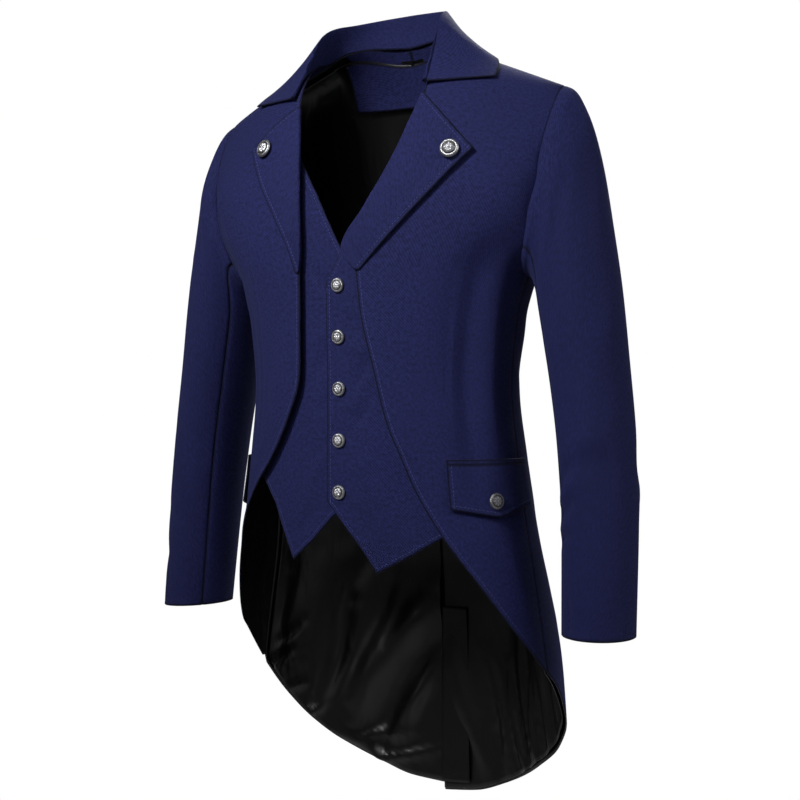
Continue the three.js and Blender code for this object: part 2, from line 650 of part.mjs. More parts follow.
const BUTTON_SIDES = 14;
const BUTTON_CLEARANCE = 0.5; // space between a waistcoat button and its cloth
const LAPEL_BUTTON_CLEARANCE = 1;
const FLAP_BUTTON_CLEARANCE = 0.7;
const WAISTCOAT_BUTTON_X = -1;
const FLAP_BUTTON_FORWARD = 1; // degrees in front of the flap's point
const FLAP_BUTTON_RISE = 17; // height over the flap's point
const AIM = 10; // distance over which a button's direction is taken
const BUTTON_PROFILE = [
  { out: 0, up: 0 },
  { out: 0.78, up: 0 },
  { out: 1, up: 0.28 },
  { out: 0.86, up: 0.62 },
  { out: 0.5, up: 0.92 },
  { out: 0, up: 1 },
];

// A button standing on the cloth at a point, facing along the cloth's normal.
function addButton(name, button, foot, outward) {
  const profile = BUTTON_PROFILE.map((p) => new THREE.Vector2(p.out * button.radius, p.up * button.height));
  const mesh = add(name, new THREE.LatheGeometry(profile, BUTTON_SIDES), castSilver());
  mesh.quaternion.setFromUnitVectors(new THREE.Vector3(0, 1, 0), outward);
  mesh.position.copy(foot);
}

function buttonOnFront(name, button, x, z, offset) {
  const foot = frontPoint(x, z, offset);
  const outward = frontPoint(x, z, offset + AIM).sub(foot).normalize();
  addButton(name, button, foot, outward);
}

for (let i = 0; i < WAISTCOAT_BUTTON.count; i += 1) {
  const z = WAISTCOAT_BUTTON.firstLevel - WAISTCOAT_BUTTON.pitch * i;
  const offset = -WAISTCOAT_DEPTH.left + CLOTH + BUTTON_CLEARANCE;
  buttonOnFront(`waistcoat_button_${i + 1}`, WAISTCOAT_BUTTON, WAISTCOAT_BUTTON_X, z, offset);
}
SIDES.forEach((side) => {
  const spot = LAPEL_BUTTON_PLACE[side.name];
  const lapelTop = 2 * CLOTH + LAPEL_LIFT + LAPEL_SWELL + LAPEL_BUTTON_CLEARANCE;
  buttonOnFront(`lapel_button_${side.name}`, LAPEL_BUTTON, spot.x, spot.z, lapelTop);
  const turn = side.sign * (FLAP_PLACE[side.name].point - FLAP_BUTTON_FORWARD);
  const up = FLAP_HEM.point + FLAP_BUTTON_RISE - ARMPIT_LEVEL;
  const flapTop = 2 * CLOTH + FLAP_LIFT + FLAP_BUTTON_CLEARANCE;
  const foot = surface(turn, up, flapTop);
  const outward = surface(turn, up, flapTop + AIM).sub(foot).normalize();
  addButton(`flap_button_${side.name}`, FLAP_BUTTON, foot, outward);
});

export default coat;
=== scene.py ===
# %% [markdown]
# # A frock coat with swallow tails
#
# This lesson dresses a finished frame. The frame holds every cut piece of a coat as a plain solid:
# fronts, backs, sleeves, collar, lapels, a false waistcoat, flaps and buttons. Here each piece is sewn
# again as fine cloth with creases, stitches and a woven finish, on exactly the same form.
# The coat faces -Y, the wearer's left is +X, and lengths in the tables are in millimetres.

# %% Load the frame
import math
import bpy
import numpy as np
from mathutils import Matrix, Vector


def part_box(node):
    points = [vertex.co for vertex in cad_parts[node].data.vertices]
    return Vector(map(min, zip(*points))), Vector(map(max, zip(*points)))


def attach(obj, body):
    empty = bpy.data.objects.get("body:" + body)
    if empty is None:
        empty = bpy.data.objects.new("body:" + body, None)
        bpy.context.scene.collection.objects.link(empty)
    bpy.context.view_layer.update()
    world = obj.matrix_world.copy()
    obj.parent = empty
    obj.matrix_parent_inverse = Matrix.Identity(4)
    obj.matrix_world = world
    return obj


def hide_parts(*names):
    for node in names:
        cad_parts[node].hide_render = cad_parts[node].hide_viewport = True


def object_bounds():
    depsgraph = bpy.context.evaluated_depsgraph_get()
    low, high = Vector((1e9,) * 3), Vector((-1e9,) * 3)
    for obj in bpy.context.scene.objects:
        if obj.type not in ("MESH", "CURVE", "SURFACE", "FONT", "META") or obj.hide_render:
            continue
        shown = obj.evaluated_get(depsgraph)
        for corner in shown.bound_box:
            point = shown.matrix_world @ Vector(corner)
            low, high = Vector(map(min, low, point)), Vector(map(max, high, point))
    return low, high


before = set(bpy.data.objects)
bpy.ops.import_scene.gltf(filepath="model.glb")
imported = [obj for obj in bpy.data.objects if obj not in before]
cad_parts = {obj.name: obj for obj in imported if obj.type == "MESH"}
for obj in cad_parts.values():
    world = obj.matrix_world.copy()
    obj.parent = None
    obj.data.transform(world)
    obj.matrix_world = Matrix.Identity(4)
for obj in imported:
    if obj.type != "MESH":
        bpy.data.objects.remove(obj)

cad_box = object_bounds()
MM = 0.001
print("frame box", cad_box)

# %% [markdown]
# ## The sizes of the cut
#
# A tailor works from a few numbers at a few levels. The tables below are the same ones that shaped the
# frame, so the fine cloth lies on it. A column is read at any height along a smooth curve that never
# overshoots its rows: that keeps a waist a waist.

# %% Tables with named columns
def table(columns, *rows):
    return dict(zip(columns.split(), np.array(rows, float).T))


def read(chart, key, at, column):
    keys, values = chart[key], chart[column]
    if keys[0] > keys[-1]:
        keys, values = keys[::-1], values[::-1]
    slope = np.diff(values) / np.diff(keys)
    before, after = slope[:-1], slope[1:]
    same = before * after > 0
    middle = np.where(same, 2 * before * after / np.where(same, before + after, 1), 0)
    tangent = np.concatenate([slope[:1], middle, slope[-1:]])
    at = np.asarray(at, float)
    row = np.clip(np.searchsorted(keys, at) - 1, 0, len(keys) - 2)
    width = keys[row + 1] - keys[row]
    t = np.clip((at - keys[row]) / width, 0, 1)
    rise = values[row] * (1 + 2 * t) * (1 - t) ** 2 + values[row + 1] * t * t * (3 - 2 * t)
    lean = tangent[row] * width * t * (1 - t) ** 2 + tangent[row + 1] * width * t * t * (t - 1)
    return rise + lean


CLOTH = 1.6
LINING = 1.0
ARMPIT_LEVEL = -250.0
SHOULDER_RISE = 300.0
SQUARENESS = 0.87
SIDE_SEAM = 90.0
ARMHOLE_SCOOP = 25.0
NECK_POINT = 80.0
RIDGE_Y = 10.0

BODY_RINGS = table(
    "level half_width front back",
    (-250, 178, 104, 110), (-300, 164, 103, 104), (-375, 157, 101, 101), (-450, 164, 101, 115),
    (-510, 172, 101, 131), (-600, 187, 100, 145), (-700, 201, 98, 149), (-870, 212, 95, 149))
SHOULDER_SPREAD = table("rise half_width", (0, 178), (0.25, 212), (0.5, 228), (0.75, 225), (1, 215))
FRONT_FOLD = table(
    "rise left right",
    (0, 24, 49), (0.083, 7, 48), (0.262, 35, 52), (0.415, 58, 56),
    (0.556, 73, 61), (0.769, 85, 74), (0.9, 84, 79), (1, 80, 80))
CUTAWAY = table(
    "level left right",
    (-250, 5.7, 13), (-300, 8, 14.5), (-363, 13.5, 16), (-413, 18, 23), (-452, 23.6, 32), (-487, 29, 46),
    (-532, 38.3, 62), (-595, 56, 76), (-640, 71, 86), (-682, 90, 97), (-718, 105, 107), (-768, 120, 122))
TAIL_HEM = table(
    "turn left right",
    (90, -682, -660), (105, -718, -712), (120, -768, -760), (130, -795, -788),
    (147, -826, -822), (160, -848, -843), (170, -862, -855), (180, -868, -859))
RIGHT_SIDE_SEAM = table("level turn", (-250, 90), (-360, 92), (-480, 101), (-600, 104), (-720, 104))
print("body rings", len(BODY_RINGS["level"]), "stations on the cutaway", len(CUTAWAY["level"]))

# %% [markdown]
# ## The form under the cloth
#
# Two coordinates name any place on the coat body. The turn goes round it, from 0 degrees at the centre
# front through 90 at the wearer's left to 180 at the centre back, and negative on the right. The level
# of cloth, called up, is measured from the bottom of the armholes. Below that the sections are rounded
# ovals; above it the front and the back lean together until they meet at the shoulder seam.

# %% A place on the coat body
def smooth(value):
    value = np.clip(value, 0, 1)
    return value * value * (3 - 2 * value)


def ridge_height(x, is_back):
    neck = np.where(is_back, 40 * np.maximum(0, 1 - (x / NECK_POINT) ** 2), 0)
    return 45 - 0.45 * np.hypot(x, 40) + neck


def body_point(turn, up):
    turn, up = np.broadcast_arrays(np.asarray(turn, float), np.asarray(up, float))
    angle = np.radians(np.abs(turn))
    is_back = np.abs(turn) > 90
    across = np.maximum(0, np.sin(angle)) ** SQUARENESS
    along = np.abs(np.cos(angle)) ** SQUARENESS
    forward = np.where(is_back, along, -along)
    level = ARMPIT_LEVEL + np.minimum(up, 0)
    depth = np.where(is_back, read(BODY_RINGS, "level", level, "back"), read(BODY_RINGS, "level", level, "front"))
    climb = np.radians(90 * np.maximum(up, 0) / SHOULDER_RISE)
    rise = np.sin(climb)
    half = np.where(up > 0, read(SHOULDER_SPREAD, "rise", rise, "half_width"),
                    read(BODY_RINGS, "level", level, "half_width"))
    x = half * across
    y = np.where(up > 0, RIDGE_Y + (depth * forward - RIDGE_Y) * np.cos(climb), depth * forward)
    z = np.where(up > 0, ARMPIT_LEVEL + rise * (ridge_height(x, is_back) - ARMPIT_LEVEL), level)
    return np.stack([np.where(turn < 0, -x, x), y, z], axis=-1)


def unit(vectors):
    return vectors / np.maximum(np.linalg.norm(vectors, axis=-1, keepdims=True), 1e-9)


def turn_at(x, half_width):
    return np.degrees(np.arcsin(np.clip(x / half_width, 0, 1) ** (1 / SQUARENESS)))


def up_at(rise):
    return np.degrees(np.arcsin(np.clip(rise, 0, 1))) * SHOULDER_RISE / 90


def scoop_at(rise):
    return ARMHOLE_SCOOP * 2 * np.sqrt(np.maximum(0, rise * (1 - rise)))


print("shoulder tip", body_point(89.9, 299.0).round(0), "centre back hem", body_point(180, -618).round(0))

# %% [markdown]
# ## Folds and creases
#
# Cloth tells where it is held. Long soft folds fall down the tails, a drag runs to the armhole, and the
# sleeve wrinkles inside the elbow. A simulation would give creases of its own choosing, so each one is
# placed here: a start, an end, a width, a height and a bow, all fading out at both ends.

# %% Lifts of the cloth
BODY_FOLDS = table(
    "turn top bottom width depth",
    (66, -110, -260, 7, -4), (44, -230, -440, 5, -2), (-62, -120, -280, 7, -3), (118, -520, -900, 9, 5),
    (138, -560, -900, 8, -5), (158, -540, -900, 8, 4), (-122, -540, -900, 9, 5), (-141, -580, -900, 9, -5),
    (-160, -560, -900, 7, 4))
MM_PER_DEGREE = 2.9  # how far one degree of turn goes round the body


def fold_lift(turn, level):
    lift = 0
    for ridge, top, bottom, width, depth in zip(*BODY_FOLDS.values()):
        reach = (top - bottom) / 3
        ends = smooth((top - level) / reach) * smooth((level - bottom) / reach)
        lift = lift + depth * np.exp(-(((turn - ridge) / width) ** 2)) * ends
    return lift


def crease_lift(creases, across, along):
    lift = np.zeros(np.broadcast(across, along).shape)
    for x0, z0, x1, z1, width, height, bow in creases:
        dx, dz = x1 - x0, z1 - z0
        length = math.hypot(dx, dz)
        share = ((across - x0) * dx + (along - z0) * dz) / length**2
        nearest = np.clip(share, 0, 1)
        beside = ((along - z0) * dx - (across - x0) * dz) / length - bow * np.sin(np.pi * nearest)
        beyond = (share - nearest) * length
        fade = np.sin(np.pi * np.clip(nearest, 0.05, 0.95)) ** 0.7
        lift += height * fade * np.exp(-(beside**2 + beyond**2) / width**2)
    return lift


def unevenness(across, along, height):
    waves = ((61, 83, 0.4), (-47, 118, 2.1), (139, 71, 4.0), (33, -152, 5.2))
    return height * sum(np.sin(across / a + along / b + start) for a, b, start in waves) / 2


def surface(turn, up, offset, creases=()):
    turn, up, offset = np.broadcast_arrays(turn, up, offset)
    point = body_point(turn, up)
    beside = body_point(turn + 0.4, up) - body_point(turn - 0.4, up)
    above = body_point(turn, np.minimum(up + 1, SHOULDER_RISE)) - body_point(turn, up - 1)
    normal = unit(np.cross(beside, above))
    level = point[..., 2]
    lift = offset + fold_lift(turn, level) + crease_lift(creases, turn * MM_PER_DEGREE, level)
    return point + normal * lift[..., None]


def front_place(x, z):
    """The turn and the up of a place on the front, from its sideways distance and its height."""
    x, z = np.broadcast_arrays(np.asarray(x, float), np.asarray(z, float))
    far = np.abs(x)
    rise = np.clip((z - ARMPIT_LEVEL) / (ridge_height(far, False) - ARMPIT_LEVEL), 0, 1)
    below = z <= ARMPIT_LEVEL
    half = np.where(below, read(BODY_RINGS, "level", z, "half_width"),
                    read(SHOULDER_SPREAD, "rise", rise, "half_width"))
    turn = np.where(x < 0, -1, 1) * turn_at(far, half)
    return turn, np.where(below, z - ARMPIT_LEVEL, up_at(rise))


def front_point(x, z, offset, creases=()):
    turn, up = front_place(x, z)
    return surface(turn, up, offset, creases)


# Rows: across and along at the start, across and along at the end, width, height, bow.
# On the body, across is the turn times MM_PER_DEGREE and along is the height.
FRONT_CREASES = {
    "left": (
        (130, -212, 133, -448, 2.6, -1.5, 1),
        (160, -200, 163, -500, 22, -9.0, 2),
        (196, -240, 204, -470, 12, 1.6, 4),
        (206, -250, 212, -440, 9, 1.8, 3),
        (158, -152, 206, -206, 8, -2.0, 4),
        (150, -180, 212, -226, 6, 1.6, 5),
        (176, -130, 214, -170, 6, -1.4, 3),
        (96, -150, 176, -232, 14, 1.2, 6),
        (60, -300, 110, -430, 22, -1.2, 8),
        (70, -430, 130, -560, 18, 1.0, -8),
        (196, -520, 232, -640, 14, 1.6, 6),
    ),
    "right": (
        (-120, -240, -132, -440, 3.2, -1.6, -2),
        (-150, -250, -160, -440, 14, -2.4, -4),
        (-180, -140, -208, -232, 9, -2.2, -4),
        (-150, -150, -205, -205, 6, 1.5, -5),
        (-70, -330, -110, -470, 16, 1.2, -6),
        (-90, -420, -190, -520, 14, -1.4, 6),
        (-120, -470, -230, -560, 12, 1.4, 8),
    ),
}
print("creases on the fronts", {side: len(rows) for side, rows in FRONT_CREASES.items()})

# %% [markdown]
# ## Cloth as a closed shell
#
# Each cut piece is a grid of points on its outer face and one on its inner face, joined round the rim by
# a rounded edge, as a pressed seam is. Solidify would do the same, but two grids let the wall follow the
# frame exactly. The sheet also keeps two things that a finish needs: UVs in metres along the threads,
# and how near each point is to an edge, where cloth wears paler and where the rim is painted in shade.

# %% A sheet of cloth
PIECES = {}


def place_mesh(name, mesh):
    mesh.shade_smooth()
    piece = bpy.data.objects.new(name, mesh)
    bpy.context.collection.objects.link(piece)
    return piece


def arcs(grid, axis):
    steps = np.linalg.norm(np.diff(grid, axis=axis), axis=-1)
    start = np.zeros_like(np.take(steps, [0], axis=axis))
    return np.concatenate([start, np.cumsum(steps, axis=axis)], axis=axis)


def edge_nearness(grid, reach=5.0):
    across, down = arcs(grid, 1), arcs(grid, 0)
    near = np.minimum.reduce([across, across[:, -1:] - across, down, down[-1:] - down])
    return np.exp(-near / reach)


def border(rows, columns):
    index = np.arange(rows * columns).reshape(rows, columns)
    return np.concatenate([index[0, :-1], index[:-1, -1], index[-1, :0:-1], index[:0:-1, 0]])


def cloth_sheet(name, outer, inner, threads, materials, lined=None, rounding=0.75):
    """outer and inner are grids of points in mm, threads the grid of UVs in mm."""
    rows, columns = outer.shape[:2]
    count = rows * columns
    loop = border(rows, columns)
    outward = np.zeros_like(outer)
    for axis in (0, 1):
        first = unit(np.take(outer, 0, axis) - np.take(outer, 1, axis))
        last = unit(np.take(outer, -1, axis) - np.take(outer, -2, axis))
        at_first = (0, slice(None)) if axis == 0 else (slice(None), 0)
        at_last = (-1, slice(None)) if axis == 0 else (slice(None), -1)
        outward[at_first] += first
        outward[at_last] += last
    flat_outer, flat_inner = outer.reshape(-1, 3), inner.reshape(-1, 3)
    wall = np.linalg.norm(flat_outer[loop] - flat_inner[loop], axis=-1, keepdims=True)
    rim = (flat_outer[loop] + flat_inner[loop]) / 2
    rim += unit(outward.reshape(-1, 3)[loop]) * wall * 0.5 * rounding
    points = np.concatenate([flat_outer, flat_inner, rim])
    index = np.arange(count).reshape(rows, columns)
    a, b, c, d = index[:-1, :-1], index[1:, :-1], index[1:, 1:], index[:-1, 1:]
    face = np.stack([a, b, c, d], -1).reshape(-1, 4)
    ring = np.arange(len(loop)) + 2 * count
    after, ring_after = np.roll(loop, -1), np.roll(ring, -1)
    outside_rim = np.stack([loop, after, ring_after, ring], -1)
    inside_rim = np.stack([ring, ring_after, after + count, loop + count], -1)
    faces = np.concatenate([face, face[:, ::-1] + count, outside_rim, inside_rim])
    p = points[faces]
    volume = np.einsum("ij,ij->", p[:, 0], np.cross(p[:, 1], p[:, 2]) + np.cross(p[:, 2], p[:, 3]))
    if volume < 0:
        faces = faces[:, ::-1]
    mesh = bpy.data.meshes.new(name)
    mesh.from_pydata((points * MM).tolist(), [], faces.tolist())
    uv = threads.reshape(-1, 2)
    uv = np.concatenate([uv, uv, uv[loop]]) * MM
    layer = mesh.uv_layers.new(name="threads")
    corners = np.zeros(len(mesh.loops), int)
    mesh.loops.foreach_get("vertex_index", corners)
    layer.data.foreach_set("uv", uv[corners].ravel())
    near = edge_nearness(outer).ravel()
    mesh.attributes.new("edge", "FLOAT", "POINT").data.foreach_set(
        "value", np.concatenate([near, near, np.ones(len(loop))]))
    for material in materials:
        mesh.materials.append(material)
    if lined is not None:
        slots = np.zeros(len(faces), int)
        slots[len(face):2 * len(face)] = lined.reshape(-1)
        slots[2 * len(face) + len(loop):] = int(np.mean(lined) > 0.9)
        mesh.polygons.foreach_set("material_index", slots)
    piece = place_mesh(name, mesh)
    middle = (outer + inner) / 2
    squares = np.cross(np.diff(middle, axis=0)[:, :-1], np.diff(middle, axis=1)[:-1])
    area = np.linalg.norm(squares, axis=-1).sum() * MM * MM
    size = [arcs(middle, 1)[:, -1].max() * MM, arcs(middle, 0)[-1].max() * MM]
    PIECES[name] = {"piece": piece, "flat": size, "area": area}
    print(f"{name}: {len(faces)} faces, cut {size[0]:.3f} x {size[1]:.3f} m, area {area:.4f} m2")


def grown(grid, thickness):
    across = np.gradient(grid, axis=1)
    down = np.gradient(grid, axis=0)
    return grid + unit(np.cross(across, down)) * thickness


# %% [markdown]
# ## Finishes
#
# The coat is a wool twill: matt, with a faint bloom where the light grazes it and a diagonal rib. The rib
# of such a cloth is under a millimetre, too fine to show at this distance, so it is drawn 2.4 mm wide.
# The lining is acetate satin, nearly black and much smoother, and its thread is too fine to draw at all.

# %% Colours and a node helper
def linear(code):
    parts = [int(code[i:i + 2], 16) / 255 for i in (1, 3, 5)]
    return (*[v / 12.92 if v <= 0.04045 else ((v + 0.055) / 1.055) ** 2.4 for v in parts], 1)


def node(tree, kind, inputs=None, **settings):
    made = tree.nodes.new("ShaderNode" + kind)
    for name, value in settings.items():
        setattr(made, name, value)
    for socket, value in (inputs or {}).items():
        if isinstance(value, bpy.types.NodeSocket):
            tree.links.new(value, made.inputs[socket])
        else:
            made.inputs[socket].default_value = value
    return made


def new_material(name, **values):
    material = bpy.data.materials.new(name)
    material.use_nodes = True
    shader = material.node_tree.nodes["Principled BSDF"]
    for socket, value in values.items():
        shader.inputs[socket.replace("_", " ")].default_value = value
    return material, material.node_tree, shader


def ranged(tree, value, low, high, start=0.0, end=1.0):
    """A value from start to end, turned into one from low to high."""
    limits = {"Value": value, "From Min": start, "From Max": end, "To Min": low, "To Max": high}
    return node(tree, "MapRange", limits).outputs["Result"]


def two_tones(tree, factor, first, second):
    mixed = node(tree, "Mix", {"Factor": factor, 6: linear(first), 7: linear(second)}, data_type="RGBA")
    return mixed.outputs[2]


# %% Navy wool twill
TWILL_RIB = 0.0024  # metres from rib to rib; the real cloth has about 0.8 mm
WAVE_PERIOD = 0.444  # what Blender's diagonal bands measure from rib to rib at scale 1


def wool(name, colour, bloom):
    # Wool scatters light in every direction: rough, weakly shiny, with a soft sheen at the edges.
    material, tree, shader = new_material(
        name, Roughness=0.82, Sheen_Weight=bloom, Sheen_Roughness=0.45, Specular_IOR_Level=0.18, IOR=1.54)
    shader.inputs["Sheen Tint"].default_value = linear("#8C93C8")
    threads = node(tree, "UVMap", uv_map="threads").outputs["UV"]
    rib = node(tree, "TexWave", {
        "Vector": threads, "Scale": WAVE_PERIOD / TWILL_RIB, "Distortion": 1.6, "Detail": 2.0,
        "Detail Scale": 2.2}, wave_type="BANDS", bands_direction="DIAGONAL").outputs["Fac"]
    mottle = node(tree, "TexNoise", {"Vector": threads, "Scale": 260.0, "Detail": 5.0, "Roughness": 0.7})
    cloud = node(tree, "TexNoise", {"Vector": threads, "Scale": 9.0, "Detail": 3.0, "Roughness": 0.55})
    edge = node(tree, "Attribute", attribute_name="edge").outputs["Fac"]
    grain = ranged(tree, mottle.outputs["Fac"], 0.5, 1.5, 0.3, 0.7)
    broad = ranged(tree, cloud.outputs["Fac"], 0.93, 1.07, 0.3, 0.7)
    ribbed = ranged(tree, rib, 0.80, 1.16)
    shade = node(tree, "Math", {0: grain, 1: ribbed}, operation="MULTIPLY").outputs[0]
    shade = node(tree, "Math", {0: shade, 1: broad}, operation="MULTIPLY").outputs[0]
    # Beside an edge the nap is worn a little paler; the rim itself is painted darker, as painted shade where it
    # turns under.
    base = two_tones(tree, ranged(tree, edge, 0.0, 0.25), colour, "#2C3162")
    rim = ranged(tree, edge, 1.0, 0.22, 0.62, 0.9)
    shade = node(tree, "Math", {0: shade, 1: rim}, operation="MULTIPLY").outputs[0]
    tint = node(tree, "VectorMath", {0: base, "Scale": shade}, operation="SCALE").outputs[0]
    tree.links.new(tint, shader.inputs["Base Color"])
    bump = node(tree, "Bump", {"Height": rib, "Strength": 0.30, "Distance": 0.0005}).outputs["Normal"]
    bump = node(tree, "Bump", {"Height": mottle.outputs["Fac"], "Strength": 0.75, "Distance": 0.0015,
                               "Normal": bump}).outputs["Normal"]
    tree.links.new(bump, shader.inputs["Normal"])
    return material


navy_wool = wool("navy_wool_twill", "#212556", 0.08)
print("rib", TWILL_RIB * 1000, "mm, wave scale", round(WAVE_PERIOD / TWILL_RIB))

# %% Black satin lining
def satin(name):
    # Satin floats its threads on one side, so it shines: smooth, dark, with broad soft highlights.
    material, tree, shader = new_material(name, Roughness=0.36, Specular_IOR_Level=0.50, IOR=1.48)
    threads = node(tree, "UVMap", uv_map="threads").outputs["UV"]
    long_way = node(tree, "Mapping", {"Vector": threads, "Scale": (1.0, 0.35, 1.0)}).outputs["Vector"]
    puckers = node(tree, "TexNoise", {"Vector": long_way, "Scale": 40.0, "Detail": 2.0, "Roughness": 0.45,
                                      "Distortion": 0.6}).outputs["Fac"]
    thread = node(tree, "TexNoise", {"Vector": threads, "Scale": 900.0, "Detail": 2.0}).outputs["Fac"]
    colour = two_tones(tree, ranged(tree, thread, 0.0, 1.0, 0.3, 0.7), "#050506", "#0B0A0D")
    tree.links.new(colour, shader.inputs["Base Color"])
    bump = node(tree, "Bump", {"Height": puckers, "Strength": 0.4, "Distance": 0.006}).outputs["Normal"]
    tree.links.new(bump, shader.inputs["Normal"])
    return material


black_satin = satin("black_acetate_satin")
print("lining", black_satin.name)

# %% Antiqued pewter and thread
def pewter(name):
    # Cast pewter, tumbled and blackened in its recesses: bright on the high places, matt and dark below.
    material, tree, shader = new_material(name, Metallic=1.0)
    recess = node(tree, "Attribute", attribute_name="recess").outputs["Fac"]
    pits = node(tree, "TexNoise", {"Scale": 1400.0, "Detail": 3.0}).outputs["Fac"]
    # On the flap buttons this mask also carries painted shade, laid over the whole casting.
    patina_and_painted_shade = node(tree, "Math", {0: recess, 1: pits}, operation="MULTIPLY").outputs[0]
    patina_and_painted_shade = ranged(tree, patina_and_painted_shade, 0.0, 1.0, 0.16, 0.50)
    tree.links.new(two_tones(tree, patina_and_painted_shade, "#DCDCE0", "#18181C"), shader.inputs["Base Color"])
    tree.links.new(ranged(tree, patina_and_painted_shade, 0.32, 0.65), shader.inputs["Roughness"])
    bump = node(tree, "Bump", {"Height": pits, "Strength": 0.25, "Distance": 0.0002}).outputs["Normal"]
    tree.links.new(bump, shader.inputs["Normal"])
    return material


def cotton_thread(name):
    material, tree, shader = new_material(name, Roughness=0.55, IOR=1.53)
    strands = node(tree, "TexNoise", {"Scale": 2500.0}).outputs["Fac"]
    tree.links.new(two_tones(tree, strands, "#252B62", "#434A8C"), shader.inputs["Base Color"])
    return material


antique_pewter = pewter("antiqued_cast_pewter")
navy_thread = cotton_thread("navy_cotton_thread")
print("metals and thread", antique_pewter.name, navy_thread.name)

# %% [markdown]
# ## Topstitching
#
# A row of stitches runs 4.5 mm inside every pressed edge. Each stitch is a small capsule of thread that
# dips into the cloth at both ends. A texture of dashes would be cheaper, but it would lie flat.

# %% Stitches along an edge
STITCH_LENGTH = 2.9
STITCH_GAP = 1.3
STITCH_WIDTH = 0.34
STITCH_INSET = 4.5
STITCH_RISE = 0.28  # how far the middle of a stitch rises above its ends
STITCH_SINK = 0.12  # how deep its ends lie in the cloth


def inset_line(grid, edge, inset=STITCH_INSET):
    """Points and normals on a sheet's outer grid, at one distance inside one of its edges."""
    turned = {"first column": grid, "last column": grid[:, ::-1],
              "top": np.swapaxes(grid, 0, 1), "bottom": np.swapaxes(grid, 0, 1)[:, ::-1]}[edge]
    along = unit(np.gradient(turned[:, 0], axis=0))
    inwards = unit(turned[:, 2] - turned[:, 0])
    slant = np.sqrt(np.maximum(0.15, 1 - np.sum(along * inwards, axis=-1) ** 2))
    reach = arcs(turned, 1)
    line = []
    for row, far, total in zip(turned, inset / slant, reach):
        line.append([np.interp(min(far, total[-1]), total, row[:, k]) for k in range(3)])
    line = np.array(line)
    return line, unit(np.cross(unit(np.gradient(line, axis=0)), inwards))


def stitch_row(name, lines):
    """lines are pairs of points and of a sign that turns their normals outwards."""
    ring = [(0.0, 0.0), (0.2, 0.85), (0.5, 1.0), (0.8, 0.85), (1.0, 0.0)]
    sides = 5
    points, faces = [], []
    for (line, normals), sign in lines:
        length = np.concatenate([[0], np.cumsum(np.linalg.norm(np.diff(line, axis=0), axis=-1))])
        pitch = STITCH_LENGTH + STITCH_GAP
        for start in np.arange(STITCH_GAP, length[-1] - pitch, pitch):
            ends = [np.array([np.interp(start + part, length, line[:, k]) for k in range(3)])
                    for part in (0, STITCH_LENGTH)]
            up = sign * np.array([np.interp(start, length, normals[:, k]) for k in range(3)])
            run = ends[1] - ends[0]
            aside = unit(np.cross(run, up))
            first = len(points)
            for share, swell in ring:
                middle = ends[0] + run * share + up * (STITCH_RISE * swell - STITCH_SINK)
                for k in range(sides):
                    angle = 2 * math.pi * k / sides
                    spoke = aside * math.cos(angle) + up * math.sin(angle)
                    points.append(middle + spoke * STITCH_WIDTH * max(swell, 0.25))
            for i in range(len(ring) - 1):
                for k in range(sides):
                    a, b = first + i * sides + k, first + i * sides + (k + 1) % sides
                    faces.append((a, b, b + sides, a + sides))
            faces.append(tuple(first + k for k in reversed(range(sides))))
            faces.append(tuple(first + (len(ring) - 1) * sides + k for k in range(sides)))
    mesh = bpy.data.meshes.new(name)
    mesh.from_pydata([tuple(p * MM) for p in points], [], faces)
    mesh.materials.append(navy_thread)
    piece = place_mesh(name, mesh)
    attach(piece, "root")
    print(name, len(faces), "faces")


def dress(name, *nodes, slot="wool_twill", folded_edge=0.0):
    """Puts a finished cloth piece in the place of its CAD nodes.

    The cut is what the grid itself measures; folded_edge is not used. The cut is what the grid
    itself measures; folded_edge adds length that is folded out of sight.
    """
    made = PIECES[name]
    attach(made["piece"], "root")
    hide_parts(*nodes)


# %% [markdown]
# ## Fronts
#
# Each front runs from the lapel fold, down the cutaway edge and back to the side seam. The rows follow
# the armhole by even angles, so its curve is smooth, and the cloth is 1.6 mm thick with its interfacing.
# Inside, a 45 mm facing of the coat cloth runs down the edge and the rest is lined with satin.

# %% Cut the fronts
SIDES = {"left": 1, "right": -1}
ARMHOLE_ROWS = -(1 + np.cos(np.radians(np.linspace(0, 177, 66)))) / 2
ROW_SHARES = np.concatenate([ARMHOLE_ROWS, np.linspace(0, 1, 110)])
FACING_WIDTH = 45
FACING_FOOT = -450  # the facing narrows to nothing here, from 120 mm above


def side_seam(sign, level):
    if sign > 0:
        return np.full(np.shape(level), SIDE_SEAM)
    return read(RIGHT_SIDE_SEAM, "level", level, "turn")


def front_end(side):
    """The level where the cutaway edge comes within 1.5 degrees of the side seam."""
    levels = np.arange(ARMPIT_LEVEL, -760, -0.5)
    reached = read(CUTAWAY, "level", levels, side) >= side_seam(SIDES[side], levels) - 1.5
    return levels[np.argmax(reached)]


def mix(start, end, share):
    return start + (end - start) * share


def front_grid(side, columns=56):
    share, across = ROW_SHARES[:, None], np.linspace(0, 1, columns)[None, :]
    rise = np.maximum(-share, 0)
    fold = turn_at(read(FRONT_FOLD, "rise", rise, side), read(SHOULDER_SPREAD, "rise", rise, "half_width"))
    level = mix(ARMPIT_LEVEL, front_end(side), np.maximum(share, 0))
    edge = np.where(share < 0, fold, read(CUTAWAY, "level", level, side))
    back = np.where(share < 0, SIDE_SEAM - scoop_at(rise), side_seam(SIDES[side], level))
    up = np.where(share < 0, up_at(rise), level - ARMPIT_LEVEL)
    turn = mix(edge, back, across)
    return SIDES[side] * turn, np.broadcast_to(up, turn.shape)


